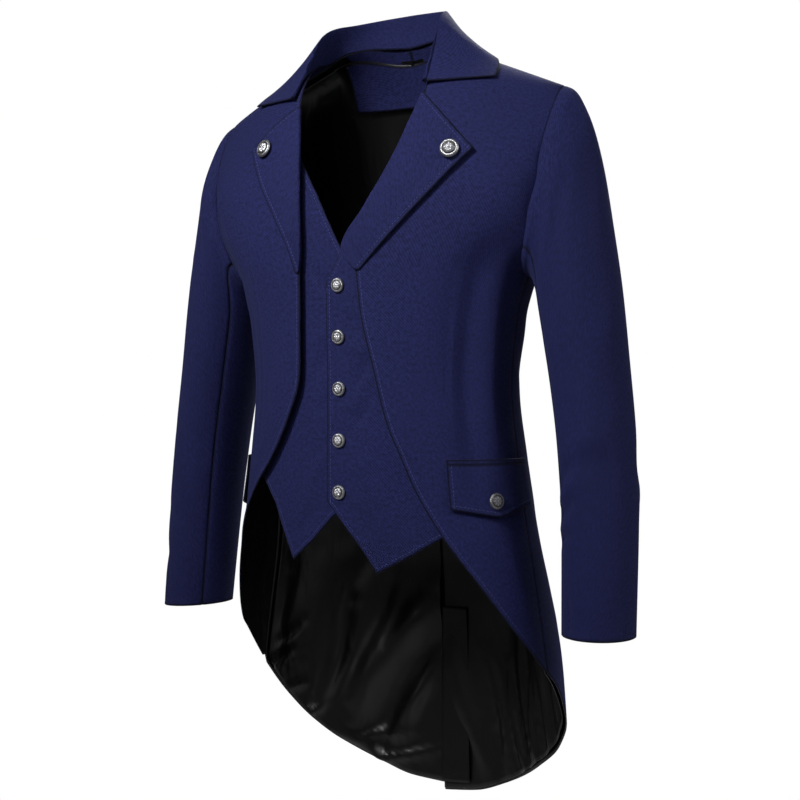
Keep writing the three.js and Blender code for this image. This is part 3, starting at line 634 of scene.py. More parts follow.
for side, sign in SIDES.items():
    turn, up = front_grid(side)
    rows = FRONT_CREASES[side]
    outer, inner = surface(turn, up, CLOTH, rows), surface(turn, up, 0, rows)
    threads = np.stack([turn * MM_PER_DEGREE, up], -1)
    facing = FACING_WIDTH * smooth((inner[..., 2] - FACING_FOOT) / 120)
    inside = (arcs(inner, 1) > facing)[:-1, :-1]
    name = f"front_cloth_{side}"
    cloth_sheet(name, outer, inner, threads, [navy_wool, black_satin], lined=inside)
    dress(name, f"front_{side}")
    edge_rows = ROW_SHARES > -0.02
    line = inset_line(outer[edge_rows], "first column")
    stitch_row(f"stitches_front_{side}", [(line, -sign)])

# %% [markdown]
# ## Backs and their linings
#
# The back has a centre seam, open as a vent below the waist, and ends in two tails. The satin lining
# hangs inside it. It is cut a little full so that it never pulls the cloth, and that fullness shows as
# slanting folds from the top of the vent and crinkles along the hem.

# %% Cut the backs
NECK_DIP = 200  # the up of the back's edge at the middle of the neck
TAIL_CREASES = {
    "left": (
        (340, -520, 352, -850, 16, -2.6, 6), (425, -540, 440, -860, 18, 2.4, -8),
        (300, -460, 330, -640, 18, -1.8, 6), (480, -560, 492, -840, 12, -1.8, 4),
        (268, -330, 330, -372, 13, -1.5, 6), (300, -300, 420, -352, 16, 1.4, -8),
    ),
    "right": (
        (-352, -540, -345, -850, 16, -2.6, -6), (-436, -560, -425, -850, 18, 2.2, 8),
        (-300, -470, -326, -650, 18, -1.8, -6), (-484, -580, -494, -830, 12, -1.8, -4),
        (-268, -328, -334, -376, 13, -1.5, -6), (-310, -300, -418, -350, 16, 1.4, 8),
    ),
}
SHOULDER_CREASES = {
    "left": ((330, -120, 400, -40, 18, -1.4, 8), (290, -180, 350, -110, 14, 1.4, -5)),
    "right": ((-330, -122, -402, -44, 18, -1.4, -8), (-290, -176, -346, -108, 14, 1.4, 5)),
}


def back_top(turn):
    shoulder = read(SHOULDER_SPREAD, "rise", np.ones_like(turn), "half_width")
    x = shoulder * np.sin(np.radians(turn)) ** SQUARENESS
    return mix(NECK_DIP, SHOULDER_RISE, np.minimum(1, x / NECK_POINT) ** 2)


def back_grid(side, margin, columns):
    sign = SIDES[side]
    share = ROW_SHARES[:, None]
    across = 1 - (1 - np.linspace(0, 1, columns)[None, :]) ** 1.15
    centre = 180 - margin * 0.1
    rise = np.maximum(-share, 0)
    armhole = SIDE_SEAM + scoop_at(rise) + margin
    end = front_end(side)
    seam = side_seam(sign, mix(ARMPIT_LEVEL, end, np.maximum(share, 0))) + margin
    turn = mix(np.where(share < 0, armhole, seam), centre, across)
    hem = np.where(across == 0, end, read(TAIL_HEM, "turn", turn, side)) + margin * 2.5
    level = mix(ARMPIT_LEVEL, hem, np.maximum(share, 0))
    above = up_at(rise) * (back_top(turn) - margin * 14) / SHOULDER_RISE
    return sign * turn, np.where(share < 0, above, level - ARMPIT_LEVEL)


NECK_CLOTH_LEVEL = 14  # above this height the inside of the neck is coat cloth
VENT_SHARE = 0.62  # the vent begins this share of the way from armhole to hem

for side, sign in SIDES.items():
    turn, up = back_grid(side, 0, 66)
    rows = TAIL_CREASES[side] + SHOULDER_CREASES[side]
    outer, inner = surface(turn, up, CLOTH, rows), surface(turn, up, 0, rows)
    threads = np.stack([turn * MM_PER_DEGREE, up], -1)
    name = f"back_cloth_{side}"
    inside = inner[:-1, :-1, 2] < NECK_CLOTH_LEVEL
    cloth_sheet(name, outer, inner, threads, [navy_wool, black_satin], lined=inside)
    dress(name, f"back_{side}")
    below_vent = outer[ROW_SHARES > VENT_SHARE]
    stitch_row(f"stitches_tail_{side}", [(inset_line(below_vent, "last column"), -sign)])

# %% Hang the linings
LINING_GAP = 2.6
LEAST_GAP = 1.2
LINING_MARGIN = 1.2  # degrees short of the seams; the hem stands 3 mm up from the coat's
LINING_FOLDS = {
    "left": (
        (517, -650, 474, -850, 11, -6.0, 10), (480, -690, 455, -846, 8, -6.5, -8),
        (452, -700, 430, -836, 5, -4.5, 5), (430, -640, 405, -820, 9, -7.5, 8),
        (392, -690, 372, -800, 7, -6.0, -6), (412, -720, 392, -826, 4, -3.5, 4),
        (498, -760, 492, -846, 8, 1.2, 5), (350, -660, 345, -760, 10, -5.5, 5),
        (470, -500, 380, -640, 18, -5.0, 14), (505, -430, 420, -560, 16, -4.0, 10),
        (440, -770, 418, -838, 5, -4.5, 4), (300, -560, 330, -690, 14, -5.0, -6),
    ),
    "right": (
        (-523, -618, -424, -790, 19, -20.0, 4), (-521, -676, -446, -826, 10, 1.2, 4),
        (-518, -706, -474, -826, 9, -7.5, 4), (-519, -700, -486, -836, 6, -5.0, 4),
        (-514, -736, -470, -826, 6, -4.5, 5), (-520, -818, -440, -840, 5, -6.5, -4),
        (-500, -800, -430, -816, 5, -5.0, 3), (-420, -640, -372, -786, 11, -9.0, -10),
        (-396, -770, -350, -796, 5, -6.0, 3), (-342, -700, -302, -724, 6, -6.0, 4),
        (-356, -664, -308, -690, 6, -5.0, -3), (-372, -742, -330, -752, 4, -4.5, 2),
        (-452, -560, -396, -700, 14, -6.0, 9), (-482, -610, -420, -760, 10, -6.5, -7),
        (-330, -600, -318, -694, 11, -5.0, 5), (-500, -470, -410, -560, 16, -5.0, 8),
        (-468, -838, -400, -800, 5, -5.5, 4),
    ),
}
CRINKLED = {"left": ((430, -770, 60),), "right": ((-325, -715, 34), (-385, -778, 34), (-470, -830, 30))}


def crinkles(across, level, side):
    """Small sharp puckers where the satin is sewn to the curved hem."""
    share = 0
    for x, z, reach in CRINKLED[side]:
        share = np.maximum(share, np.exp(-((across - x) ** 2 + (level - z) ** 2) / reach**2))
    wave = np.sin(across / 3.9 + 2.2 * np.sin(level / 14)) * np.cos(level / 5.3 + 1.7 * np.sin(across / 17))
    return 1.1 * share * (1 - np.abs(wave)) ** 1.5


for side, sign in SIDES.items():
    turn, up = back_grid(side, LINING_MARGIN, 96)
    rows = TAIL_CREASES[side] + SHOULDER_CREASES[side]
    body = surface(turn, up, 0, rows)
    inward = unit(surface(turn, up, -1, rows) - body)
    across, level = turn * MM_PER_DEGREE, body[..., 2]
    folds = -np.minimum(crease_lift(LINING_FOLDS[side], across, level), 1.4)
    folds = folds + crinkles(across, level, side)
    below = smooth((-430 - level) / 200)
    folds = folds + (0.9 + unevenness(across * 1.7, level * 1.5, 0.9)) * below
    depth = np.maximum(LINING_GAP + folds, LEAST_GAP)[..., None]
    outer, inner = body + inward * depth, body + inward * (depth + LINING)
    name = f"lining_satin_{side}"
    cloth_sheet(name, outer, inner, np.stack([across, up], -1), [black_satin])
    dress(name, f"lining_back_{side}", slot="satin_lining")

# %% [markdown]
# ## Vent underlap and neck facing
#
# The right tail carries a strip that hangs inside the left one, so the vent never gapes. At the neck, a
# piece of the coat cloth covers the top of the lining where a hand or a hook would rub it.

# %% Strip and facing
VENT_TOP = -641
UNDERLAP_WIDTH = 34
UNDERLAP_OFFSET = -6.4  # from the inside of the back's cloth, past the lining
shares = np.linspace(0, 1, 64)[:, None]
strip = np.linspace(0, 1, 12)[None, :]
turn = 180 - turn_at(mix(0.2, UNDERLAP_WIDTH, strip), 190)
level = mix(VENT_TOP, read(TAIL_HEM, "turn", turn, "right") + 3, shares)
turn = np.broadcast_to(turn, level.shape)
wave = unevenness(turn * MM_PER_DEGREE, level, 0.5)
outer = surface(turn, level - ARMPIT_LEVEL, UNDERLAP_OFFSET + wave)
inner = surface(turn, level - ARMPIT_LEVEL, UNDERLAP_OFFSET - CLOTH + wave)
threads = np.stack([turn * MM_PER_DEGREE, level], -1)
satin_side = np.ones((len(turn) - 1, turn.shape[1] - 1))
cloth_sheet("vent_underlap_cloth", outer, inner, threads, [navy_wool, black_satin], lined=satin_side)
dress("vent_underlap_cloth", "vent_underlap")

FACING_HALF_WIDTH = 76
FACING_BOTTOM = -38
FACING_DROP = 18  # the facing starts this far below the back's neck edge
FACING_OFFSET = -8.5
x = np.linspace(-FACING_HALF_WIDTH, FACING_HALF_WIDTH, 48)[None, :]
turn = 180 - turn_at(np.abs(x), 222)
bottom = (FACING_BOTTOM - ARMPIT_LEVEL) / (ridge_height(np.abs(x), True) - ARMPIT_LEVEL)
up = mix(back_top(turn) - FACING_DROP, up_at(bottom), np.linspace(0, 1, 24)[:, None])
turn = np.broadcast_to(np.where(x < 0, -turn, turn), up.shape)
outer, inner = surface(turn, up, FACING_OFFSET), surface(turn, up, FACING_OFFSET - LINING)
cloth_sheet("neck_facing_cloth", outer, inner, np.stack([x + 0 * up, up], -1), [navy_wool])
dress("neck_facing_cloth", "neck_facing")

# %% [markdown]
# ## Sleeves
#
# A coat sleeve is cut in two: a wide top sleeve and a narrow under sleeve, joined down the inside and the
# back of the arm. Its head is set into the armhole with a little fullness, which gives the round edge at
# the shoulder. The elbow wrinkles and the forearm creases are placed by how far round and how high.

# %% Cut the sleeves
SLEEVE_SECTIONS = table(
    "along out_x out_z in_x in_z mid_y half_breadth",
    (0, 215, -54, 178, -250, 3, 44), (0.05, 229, -65, 184, -254, 7, 52),
    (0.11, 243, -92, 188, -262, 10, 56), (0.18, 252, -130, 191, -275, 13, 58),
    (0.28, 261, -190, 194, -298, 15, 59), (0.4, 272, -265, 199, -330, 16, 59),
    (0.52, 281, -345, 206, -372, 15, 57), (0.66, 290, -430, 215, -438, 12, 55),
    (0.8, 295, -510, 221, -511, 7, 52), (1, 297, -637, 226, -634, -5, 47))
SLEEVE_CUTS = {"top": (-100, 140, 64), "under": (140, 260, 34)}  # start and end in degrees, columns
CREASE_STRENGTH = 1.4
HEAD_FULLNESS = 2.2
SEAM_DIP = 0.9
CUFF_FACING = 0.94  # from here down the inside of the sleeve is coat cloth
SLEEVE_CREASES = {
    "left": (
        (96, -455, 140, -482, 7, -2.4, 4), (100, -492, 146, -508, 7, -2.6, -4),
        (108, -530, 150, -540, 6, -2.0, 3), (92, -474, 142, -497, 7, 2.0, 3),
        (98, -514, 148, -526, 6, 1.8, -3), (40, -470, 96, -452, 12, -1.4, 6),
        (30, -400, 100, -440, 14, 1.5, -8), (112, -596, 116, -634, 4, -1.6, 0),
        (60, -560, 110, -610, 12, 1.2, 6), (10, -120, 40, -200, 16, -1.6, 6),
        (60, -150, 84, -230, 11, -2.2, 6), (84, -180, 110, -270, 10, 1.8, 6),
        (-60, -430, -20, -470, 12, -1.4, 5), (-70, -470, -25, -500, 11, 1.3, 5),
        (20, -300, 50, -390, 20, 1.4, 9),
    ),
    "right": (
        (60, -420, 130, -470, 11, -1.9, 6), (70, -470, 140, -506, 9, 1.7, 5),
        (50, -520, 120, -548, 9, -1.4, -5), (20, -130, 46, -220, 16, -1.5, 5),
        (58, -160, 88, -240, 11, -1.8, 6), (-10, -300, 20, -400, 20, 1.6, 8),
        (20, -560, 70, -600, 13, -1.3, 6), (-60, -440, -18, -476, 12, -1.5, 5),
        (-66, -480, -26, -508, 11, 1.3, 5),
    ),
}


def sleeve_ring(section, round_angle):
    lean = np.cos(np.radians(round_angle))
    x = (section["out_x"] + section["in_x"]) / 2 + (section["out_x"] - section["in_x"]) / 2 * lean
    z = (section["out_z"] + section["in_z"]) / 2 + (section["out_z"] - section["in_z"]) / 2 * lean
    y = section["mid_y"] - section["half_breadth"] * np.sin(np.radians(round_angle))
    return np.stack(np.broadcast_arrays(x, y, z), -1)


def sleeve_grid(side, round_angle, along):
    round_angle = round_angle % 360
    section = {key: read(SLEEVE_SECTIONS, "along", along, key) for key in SLEEVE_SECTIONS}
    point = sleeve_ring(section, round_angle)
    start = sleeve_ring({key: column[0] for key, column in SLEEVE_SECTIONS.items()}, round_angle)
    rise = (1 + np.cos(np.radians(round_angle))) / 2
    turn = SIDE_SEAM + np.where(round_angle > 180, 1, -1) * scoop_at(rise)
    armhole = surface(SIDES[side] * turn, up_at(rise), 0.2, FRONT_CREASES[side])
    armhole[..., 0] = armhole[..., 0] * SIDES[side] - 0.6
    point = point + (armhole - start) * (1 - smooth(along / 0.3))[..., None]
    point[..., 0] *= SIDES[side]
    return point


for side, sign in SIDES.items():
    for cut, (start, end, columns) in SLEEVE_CUTS.items():
        round_angle = np.linspace(start, end, columns)[None, :]
        along = (np.linspace(0, 1, 150) ** 1.15)[:, None]
        round_angle, along = np.broadcast_arrays(round_angle, along)
        grid = sleeve_grid(side, round_angle, along)
        full = grown(grid, sign)
        outward = full - grid
        signed = np.where(round_angle > 180, round_angle - 360, round_angle)
        near = round_angle if cut == "under" else signed
        lift = CREASE_STRENGTH * crease_lift(SLEEVE_CREASES[side], near, grid[..., 2])
        head = HEAD_FULLNESS * np.exp(-(((along - 0.035) / 0.03) ** 2)) * smooth(along / 0.012)
        lift = lift + head + unevenness(near * 1.3, grid[..., 2], 0.35)
        seam = np.minimum(near - start, end - near)
        lift = lift - SEAM_DIP * np.exp(-((seam / 1.6) ** 2))
        grid = grid + outward * lift[..., None]
        name = f"sleeve_{cut}_cloth_{side}"
        threads = np.stack([near * 1.05, -arcs(grid, 0)], -1)
        cloth_sheet(name, grid + outward * CLOTH, grid, threads, [navy_wool, black_satin],
                    lined=along[:-1, :-1] < CUFF_FACING, rounding=0.5)
        dress(name, f"sleeve_{cut}_{side}")

# %% [markdown]
# ## Collar
#
# The collar stands up from the neck seam, folds over and falls back on the shoulders. Seven sections
# round the neck hold it; a smooth curve through each section gives the soft roll at the fold.

# %% Roll the collar
COLLAR_STATIONS = table(
    "along seam_x seam_y seam_z fold_x fold_y fold_z edge_x edge_y edge_z",
    (0, 0, 60, 31, 0, 72, 67, 0, 80, -4), (0.2, 38, 50, 32, 35, 61, 63, 56, 68, -4),
    (0.4, 65, 29, 25, 59, 36, 54, 100, 50, -11), (0.55, 77, 10, 12, 71, 9, 45, 126, 22, -10),
    (0.72, 80, -20, -1, 76, -12, 33, 143, 0, -17), (0.87, 82, -45, -23, 81, -38, -9, 152, -18, -30),
    (1, 84, -61, -48, 85, -63, -46, 155, -33, -42))
STAND_HEIGHT = 37
FOLD_ROUND = 4
STAND_TUCK = 0.15  # the stand goes this share of its height below the neck seam
FALL_SAG = 3


def through(points, place):
    """A smooth curve through the points of a section, read at places from 0 to their last."""
    ends = [2 * points[0] - points[1], *points, 2 * points[-1] - points[-2]]
    knots = np.stack(ends, 0)
    row = np.clip(np.floor(place).astype(int), 0, len(points) - 2)
    t = (place - row)[..., None, None]
    p0, p1, p2, p3 = (knots[row + k] for k in range(4))
    return 0.5 * (2 * p1 + (p2 - p0) * t + (2 * p0 - 5 * p1 + 4 * p2 - p3) * t**2
                  + (3 * p1 - p0 - 3 * p2 + p3) * t**3)


def collar_grid(stations, places):
    far = np.abs(stations)
    sign = np.where(stations < 0, -1, 1)
    spot = {}
    for part in ("seam", "fold", "edge"):
        axes = [read(COLLAR_STATIONS, "along", far, f"{part}_{axis}") for axis in "xyz"]
        spot[part] = np.stack([axes[0] * sign, axes[1], axes[2]], -1)
    out = (spot["edge"] - spot["seam"]) * (1, 1, 0)
    height = np.clip((spot["fold"][:, 2] - spot["seam"][:, 2]) / STAND_HEIGHT, 0, 1)[:, None]
    stand = [mix(spot["seam"], spot["fold"], share) for share in (-STAND_TUCK, 0.6)]
    crest = spot["fold"] + unit(out) * FOLD_ROUND * height
    fall = [mix(crest, spot["edge"], s) - height * (0, 0, FALL_SAG * 4 * s * (1 - s)) for s in (0.33, 0.67)]
    section = [*stand, spot["fold"], crest, *fall, spot["edge"]]
    return np.swapaxes(through(section, places), 0, 1)


ROUND_NECK, OVER_COLLAR = 190, 46
grid = collar_grid(np.linspace(-1, 1, ROUND_NECK), np.linspace(0, 6, OVER_COLLAR))
round_neck, over = np.linspace(-350, 350, ROUND_NECK)[:, None], np.linspace(0, 110, OVER_COLLAR)[None, :]
wave = unevenness(round_neck, over, 0.35)
outer = grown(grid, CLOTH)
outward = unit(outer - grid)
threads = np.stack([arcs(grid, 1), arcs(grid, 0)], -1)
lifted = wave * np.linspace(0, 1, OVER_COLLAR)[None, :] ** 0.5
outer, inner = outer + outward * lifted[..., None], grid + outward * lifted[..., None]
cloth_sheet("collar_cloth", outer, inner, threads, [navy_wool])
dress("collar_cloth", "collar")
lines = [(inset_line(outer, edge), 1) for edge in ("last column", "top", "bottom")]
stitch_row("stitches_collar", lines)

# %% [markdown]
# ## Lapels
#
# A lapel is the top of the front turned back. Its fold is not pressed flat: it rolls. So the sheet starts
# under the front's edge, goes round a half circle of 3 mm and lies back over the front to its peak.

# %% Turn the lapels back
LAPEL_TOP_LEVEL = -61
LAPEL_LIFT = 2.2
LAPEL_SWELL = 3
ROLL_RADIUS = 3.0
ROLL_COLUMNS = 14
LAPEL_EDGE = {
    "left": table("down x z", (0, 148, -128), (0.5, 88, -191), (1, 29, -250)),
    "right": table("down x z", (0, 131, -105), (0.3, 109, -147), (0.6, 82, -190), (0.82, 64, -222),
                   (1, 53, -250)),
}


def lapel_grid(side, layer):
    down = np.linspace(0, 1, 70)[:, None]
    across = np.linspace(0, 1, 46)[None, :]
    level = mix(LAPEL_TOP_LEVEL, ARMPIT_LEVEL, down)
    rise = (level - ARMPIT_LEVEL) / (ridge_height(70, False) - ARMPIT_LEVEL)
    fold = read(FRONT_FOLD, "rise", rise, side) + 0.5
    edge_x = read(LAPEL_EDGE[side], "down", down, "x")
    edge_z = read(LAPEL_EDGE[side], "down", down, "z")
    swell = LAPEL_SWELL * np.sin(np.pi * np.minimum(0.75, across)) * (1 - down)
    x, z = mix(fold, edge_x, across), mix(level, edge_z, across)
    settle = 1 - 0.8 * smooth((down - 0.72) / 0.28)  # the lower end flattens on to the front
    lift = LAPEL_LIFT * settle
    sign, follow = SIDES[side], FRONT_CREASES[side]
    flat = front_point(sign * x, z, CLOTH + lift + swell + layer, follow)
    turning = np.radians(np.linspace(-90, 75, ROLL_COLUMNS))[None, :]
    radius = ROLL_RADIUS - (CLOTH - layer)
    roll_x = fold - radius * np.cos(turning) * settle
    roll_z = np.broadcast_to(level, roll_x.shape)
    offset = CLOTH + lift + CLOTH - ROLL_RADIUS + radius * np.sin(turning)
    roll = front_point(sign * roll_x, roll_z, np.broadcast_to(offset, roll_x.shape), follow)
    return np.concatenate([roll, flat], axis=1)


for side, sign in SIDES.items():
    outer, inner = lapel_grid(side, CLOTH), lapel_grid(side, 0)
    threads = np.stack([arcs(outer, 1), -arcs(outer, 0)], -1)
    name = f"lapel_cloth_{side}"
    cloth_sheet(name, outer, inner, threads, [navy_wool])
    dress(name, f"lapel_{side}")
    face = outer[:, ROLL_COLUMNS:]
    lines = [(inset_line(face, edge), -sign) for edge in ("last column", "top")]
    stitch_row(f"stitches_lapel_{side}", lines)

# %% [markdown]
# ## Waistcoat front
#
# Two panels sewn inside the coat fronts give the look of a waistcoat. They hang free below, each ending
# in a point, and small drags run down from the buttons because the cloth hangs by them.

# %% Cut the waistcoat
WAISTCOAT = {
    "left": table("x top hem", (-17, -262, -500), (-8, -246, -510), (3, -227, -523), (26, -195, -549),
                  (45, -166, -575), (82, -112, -556), (117, -110, -535), (150, -130, -512)),
    "right": table("x top hem", (-14, -252, -491), (-2, -228, -504), (14, -199, -518), (38, -157, -542),
                   (68, -112, -566), (98, -110, -505), (116, -110, -484), (140, -125, -470)),
}
WAISTCOAT_DEPTH = {"left": 5.6, "right": 9.0}
# Rows here: sideways distance and height at each end, width, height, bow.
WAISTCOAT_DRAGS = {
    "left": (
        (47, -318, 8, -386, 6, -2.4, 4), (43, -372, 8, -430, 6, -2.2, 3),
        (4, -296, 30, -322, 5, -1.8, 2), (2, -262, 34, -300, 7, 1.4, 4), (44, -440, 6, -470, 8, 1.2, 4),
        (10, -500, 40, -548, 9, -1.4, 5), (20, -250, 40, -300, 8, -1.6, -3),
        (30, -470, 60, -520, 10, 1.2, 5), (6, -330, 34, -344, 5, 1.2, 2),
        (5, -404, 30, -412, 5, -1.4, 2), (24, -540, 58, -500, 9, -1.2, 4),
    ),
    "right": (
        (-8, -330, -36, -366, 6, -1.6, -3), (-10, -440, -44, -486, 7, 1.3, -4),
        (-6, -276, -40, -240, 7, -1.5, 3), (-30, -500, -70, -540, 9, -1.4, 4),
        (-8, -384, -34, -402, 6, -1.3, 2), (-12, -300, -44, -330, 8, 1.1, 3),
    ),
}

for side, sign in SIDES.items():
    chart = WAISTCOAT[side]
    x = np.unique(np.concatenate([np.linspace(chart["x"][0], chart["x"][-1], 44), chart["x"]]))
    top, hem = np.interp(x, chart["x"], chart["top"]), np.interp(x, chart["x"], chart["hem"])
    z = mix(top, hem, np.linspace(0, 1, 108)[:, None])
    x = np.broadcast_to(sign * x, z.shape)
    drags = crease_lift(WAISTCOAT_DRAGS[side], x, z) + unevenness(x * 1.4, z * 1.2, 0.25)
    deep = drags - WAISTCOAT_DEPTH[side]
    follow = FRONT_CREASES[side]
    outer, inner = front_point(x, z, deep + CLOTH, follow), front_point(x, z, deep, follow)
    name = f"waistcoat_cloth_{side}"
    cloth_sheet(name, outer, inner, np.stack([x, z], -1), [navy_wool])
    dress(name, f"waistcoat_{side}")
    edges = ("first column", "bottom", "top")
    stitch_row(f"stitches_waistcoat_{side}", [(inset_line(outer, edge), 1) for edge in edges])

# %% [markdown]
# ## Pocket flaps
#
# A welt finishes the pocket mouth and a pointed flap hangs from it, held at its point by a button.

# %% Cut the flaps
FLAP_TOP_LEVEL = -458
WELT_HEIGHT = 5
FLAP_LIFT = 1.8
FLAP_PLACE = {"left": (43.5, 68, 94), "right": (63, 85, 110)}
FLAP_HEM = (-505, -514, -502)

for side, sign in SIDES.items():
    place = FLAP_PLACE[side]
    turns = np.unique(np.concatenate([np.linspace(place[0], place[2], 44), [place[1]]]))
    hem = np.interp(turns, place, FLAP_HEM)
    follow = FRONT_CREASES[side]
    level = mix(FLAP_TOP_LEVEL, hem, np.linspace(0, 1, 22)[:, None])
    turn = np.broadcast_to(sign * turns, level.shape)
    curl = 1.4 * ((FLAP_TOP_LEVEL - level) / 50) ** 2 + unevenness(turn * 4, level * 2, 0.3)
    lift = CLOTH + FLAP_LIFT + curl
    flap = [surface(turn, level - ARMPIT_LEVEL, lift + layer, follow) for layer in (CLOTH, 0)]
    threads = np.stack([turn * MM_PER_DEGREE, level], -1)
    cloth_sheet(f"flap_cloth_{side}", *flap, threads, [navy_wool])
    dress(f"flap_cloth_{side}", f"pocket_flap_{side}")
    lines = [(inset_line(flap[0], edge), 1) for edge in ("first column", "last column", "bottom")]
    stitch_row(f"stitches_flap_{side}", lines)
    level = mix(FLAP_TOP_LEVEL + WELT_HEIGHT, FLAP_TOP_LEVEL + 0.2, np.linspace(0, 1, 6)[:, None])
    level = np.broadcast_to(level, (6, len(turns)))
    turn = np.broadcast_to(sign * turns, level.shape)
    welt = [surface(turn, level - ARMPIT_LEVEL, CLOTH + FLAP_LIFT + layer, follow) for layer in (CLOTH, 0)]
    threads = np.stack([turn * MM_PER_DEGREE, level], -1)
    cloth_sheet(f"welt_cloth_{side}", *welt, threads, [navy_wool])
    # A welt is a strip folded double, so it is cut a little over twice as wide as it shows.
    dress(f"welt_cloth_{side}", f"pocket_welt_{side}", folded_edge=WELT_HEIGHT * 1.2 * MM)

# %% [markdown]
# ## Buttons
#
# The buttons are small domed castings with a plain rosette inside a beaded rim. The relief is real shape,
# so it catches the light, and each point remembers how deep it lies for the dark finish in the recesses.
# On the flap buttons that value also carries painted shade over the whole casting.

# %% Cast the buttons
RINGS = 30
SPOKES = 72
PETALS = 8
BEADS = 24
BACK_RINGS = ((0.97, 0.16), (0.86, 0.05), (0.80, 0.0), (0.0, 0.0))  # share of radius, share of height
# painted shade: the flap buttons sit low on the skirt, where less light falls, so they are painted darker
FLAP_PAINTED_SHADE = 0.55  # the flap buttons are the darkest


def button_relief(out, angle):
    dome = np.sqrt(np.maximum(0, 1 - (out * 0.93) ** 2)) * 0.82
    petal = np.abs(np.cos(PETALS / 2 * angle)) * np.exp(-(((out - 0.38) / 0.17) ** 2))
    heart = np.exp(-((out / 0.12) ** 2))
    groove = np.exp(-(((out - 0.66) / 0.05) ** 2))
    bead = (0.5 + 0.5 * np.cos(BEADS * angle)) * np.exp(-(((out - 0.83) / 0.075) ** 2))
    height = dome + 0.16 * petal + 0.12 * heart - 0.10 * groove + 0.13 * bead
    recess = np.clip(0.75 - petal - heart - 0.9 * bead + 0.6 * groove, 0, 1)
    return height, recess


def cast_button(node_name, darkening=0.0):
    low, high = (np.array(corner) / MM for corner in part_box(node_name))
    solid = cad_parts[node_name].data
    corners = np.zeros(len(solid.vertices) * 3)
    solid.vertices.foreach_get("co", corners)
    corners = np.unique(corners.reshape(-1, 3).round(6), axis=0) / MM
    centre = (low + high) / 2
    foot_normal = np.linalg.svd(corners - corners.mean(0))[2][2]
    if foot_normal @ np.array([0.3 * np.sign(centre[0]), -1, 0]) < 0:
        foot_normal = -foot_normal
    heights = corners @ foot_normal
    tall = heights.max() - heights.min()
    base = corners[heights < heights.min() + 0.2]
    foot = base.mean(0)
    spokes = corners - foot
    radius = np.linalg.norm(spokes - np.outer(spokes @ foot_normal, foot_normal), axis=1).max()
    aside = unit(np.cross(foot_normal, (0, 0, 1)))
    above = np.cross(aside, foot_normal)
    out = np.linspace(0, 1, RINGS + 1)[1:, None]
    angle = np.linspace(0, 2 * math.pi, SPOKES, endpoint=False)[None, :]
    height, recess = button_relief(out, angle)
    face = (out * radius * np.cos(angle), out * radius * np.sin(angle), height * tall)
    rows = [np.stack(np.broadcast_arrays(*face), -1)]
    for share, lift in BACK_RINGS:
        ring = np.stack([radius * share * np.cos(angle[0]), radius * share * np.sin(angle[0]),
                         np.full(SPOKES, lift * tall)], -1)
        rows.append(ring[None])
    local = np.concatenate([r.reshape(-1, 3) for r in rows])
    peak, _ = button_relief(np.zeros(1), np.zeros(1))
    local = np.concatenate([local, [[0, 0, peak[0] * tall]]])
    points = foot + local[:, :1] * aside + local[:, 1:2] * above + local[:, 2:] * foot_normal
    faces = []
    for i in range(RINGS + len(BACK_RINGS) - 1):
        for k in range(SPOKES):
            a, b = i * SPOKES + k, i * SPOKES + (k + 1) % SPOKES
            faces.append((a, a + SPOKES, b + SPOKES, b))
    faces += [(len(local) - 1, k, (k + 1) % SPOKES) for k in range(SPOKES)]
    mesh = bpy.data.meshes.new(f"{node_name}_casting")
    mesh.from_pydata((points * MM).tolist(), [], faces)
    back_tone = np.full(len(BACK_RINGS) * SPOKES, 0.6)
    # For the flap buttons the darkening is painted shade spread over the whole casting.
    dark = np.concatenate([recess.ravel(), back_tone, [0.0]]) * (1 - darkening) + darkening
    mesh.attributes.new("recess", "FLOAT", "POINT").data.foreach_set("value", dark)
    mesh.materials.append(antique_pewter)
    piece = place_mesh(f"{node_name}_casting", mesh)
    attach(piece, "root")
    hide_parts(node_name)
    print(node_name, "radius", round(radius, 1), "height", round(tall, 1))


for node_name in sorted(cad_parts):
    if "button" in node_name:
        cast_button(node_name, FLAP_PAINTED_SHADE if "flap" in node_name else 0.0)

# %% [markdown]
# ## Light, floor and camera
#
# The coat hangs in a white studio with four soft lights: a narrow one on the chest from the upper left,
# one on the right, one in front, and one behind that shines on the satin in the tails. The world and the
# floor are white to the eye but give hardly any light, so the dark cloth keeps its depth.

# %% Studio
def area_light(name, place, size, watts, target=(0, 0, -0.4), spread=180):
    lamp = bpy.data.lights.new(name, "AREA")
    lamp.shape, lamp.size, lamp.energy, lamp.spread = "DISK", size, watts, math.radians(spread)
    made = bpy.data.objects.new(name, lamp)
    made.location = place
    made.rotation_euler = (Vector(target) - Vector(place)).to_track_quat("-Z", "Y").to_euler()
    bpy.context.collection.objects.link(made)


AZIMUTH = math.radians(30)
EYE_LEVEL = -0.4
RIGHT = Vector((math.cos(AZIMUTH), math.sin(AZIMUTH), 0))
TOWARDS = Vector((math.sin(AZIMUTH), -math.cos(AZIMUTH), 0))
UP = Vector((0, 0, 1))


def from_eye(right, up, towards):
    return RIGHT * right + UP * (up + EYE_LEVEL) + TOWARDS * towards


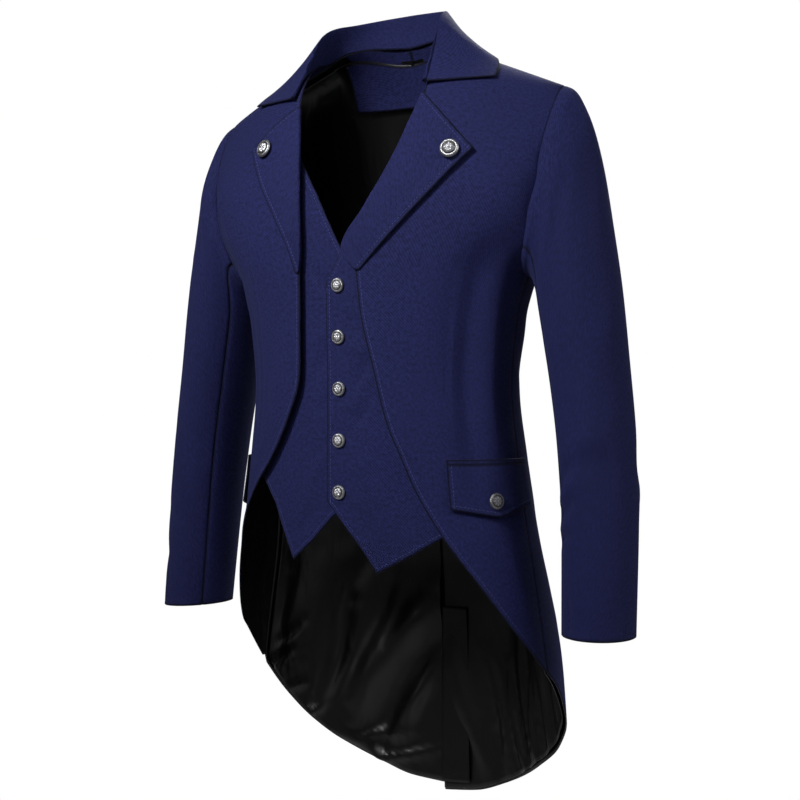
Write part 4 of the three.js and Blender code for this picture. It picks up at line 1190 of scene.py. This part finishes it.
area_light("key", from_eye(-1.3, 1.5, 1.45), 0.6, 1.9, target=(-0.02, -0.1, -0.16), spread=34)
area_light("fill", from_eye(1.5, 0.7, 0.9), 0.8, 6.5)
area_light("front", from_eye(-0.7, 0.9, 1.9), 0.7, 4.5)
area_light("back", from_eye(0.5, 1.5, -1.3), 0.9, 26)

world = bpy.data.worlds.new("studio")
bpy.context.scene.world = world
world.use_nodes = True
sky = world.node_tree
background = sky.nodes["Background"]
background.inputs["Color"].default_value = (1, 1, 1, 1)
seen = node(sky, "LightPath").outputs["Is Camera Ray"]
sky.links.new(ranged(sky, seen, 0.07, 1.0), background.inputs["Strength"])

# %% Floor and camera
FLOOR_DROP = 0.6
below_hem = (0, 0, cad_box[0][2] - FLOOR_DROP)
bpy.ops.mesh.primitive_circle_add(vertices=96, radius=1.6, fill_type="NGON", location=below_hem)
floor = bpy.context.object
floor.name = "studio_floor"
paper, paper_tree, paper_shader = new_material("studio_paper", Roughness=0.9)
fibre = node(paper_tree, "TexNoise", {"Scale": 300.0}).outputs["Fac"]
white = two_tones(paper_tree, fibre, "#F4F4F4", "#FAFAFA")
paper_tree.links.new(white, paper_shader.inputs["Base Color"])
# The paper glows for the eye only, like an overexposed backdrop; it throws no extra light on the coat.
paper_shader.inputs["Emission Color"].default_value = (1, 1, 1, 1)
seen = node(paper_tree, "LightPath").outputs["Is Camera Ray"]
paper_tree.links.new(ranged(paper_tree, seen, 0.0, 0.72), paper_shader.inputs["Emission Strength"])
floor.data.materials.append(paper)

EYE_DISTANCE = 1.6
lens = bpy.data.cameras.new("camera")
lens.lens, lens.sensor_width = 63, 36
lens.shift_x, lens.shift_y = 0.01875, 0.0125
camera = bpy.data.objects.new("camera", lens)
camera.location = from_eye(0, 0, EYE_DISTANCE)
camera.rotation_euler = (math.radians(90), 0, AZIMUTH)
bpy.context.collection.objects.link(camera)
bpy.context.scene.camera = camera
bpy.context.scene.view_settings.view_transform = "Standard"
print("camera", tuple(round(v, 3) for v in camera.location))
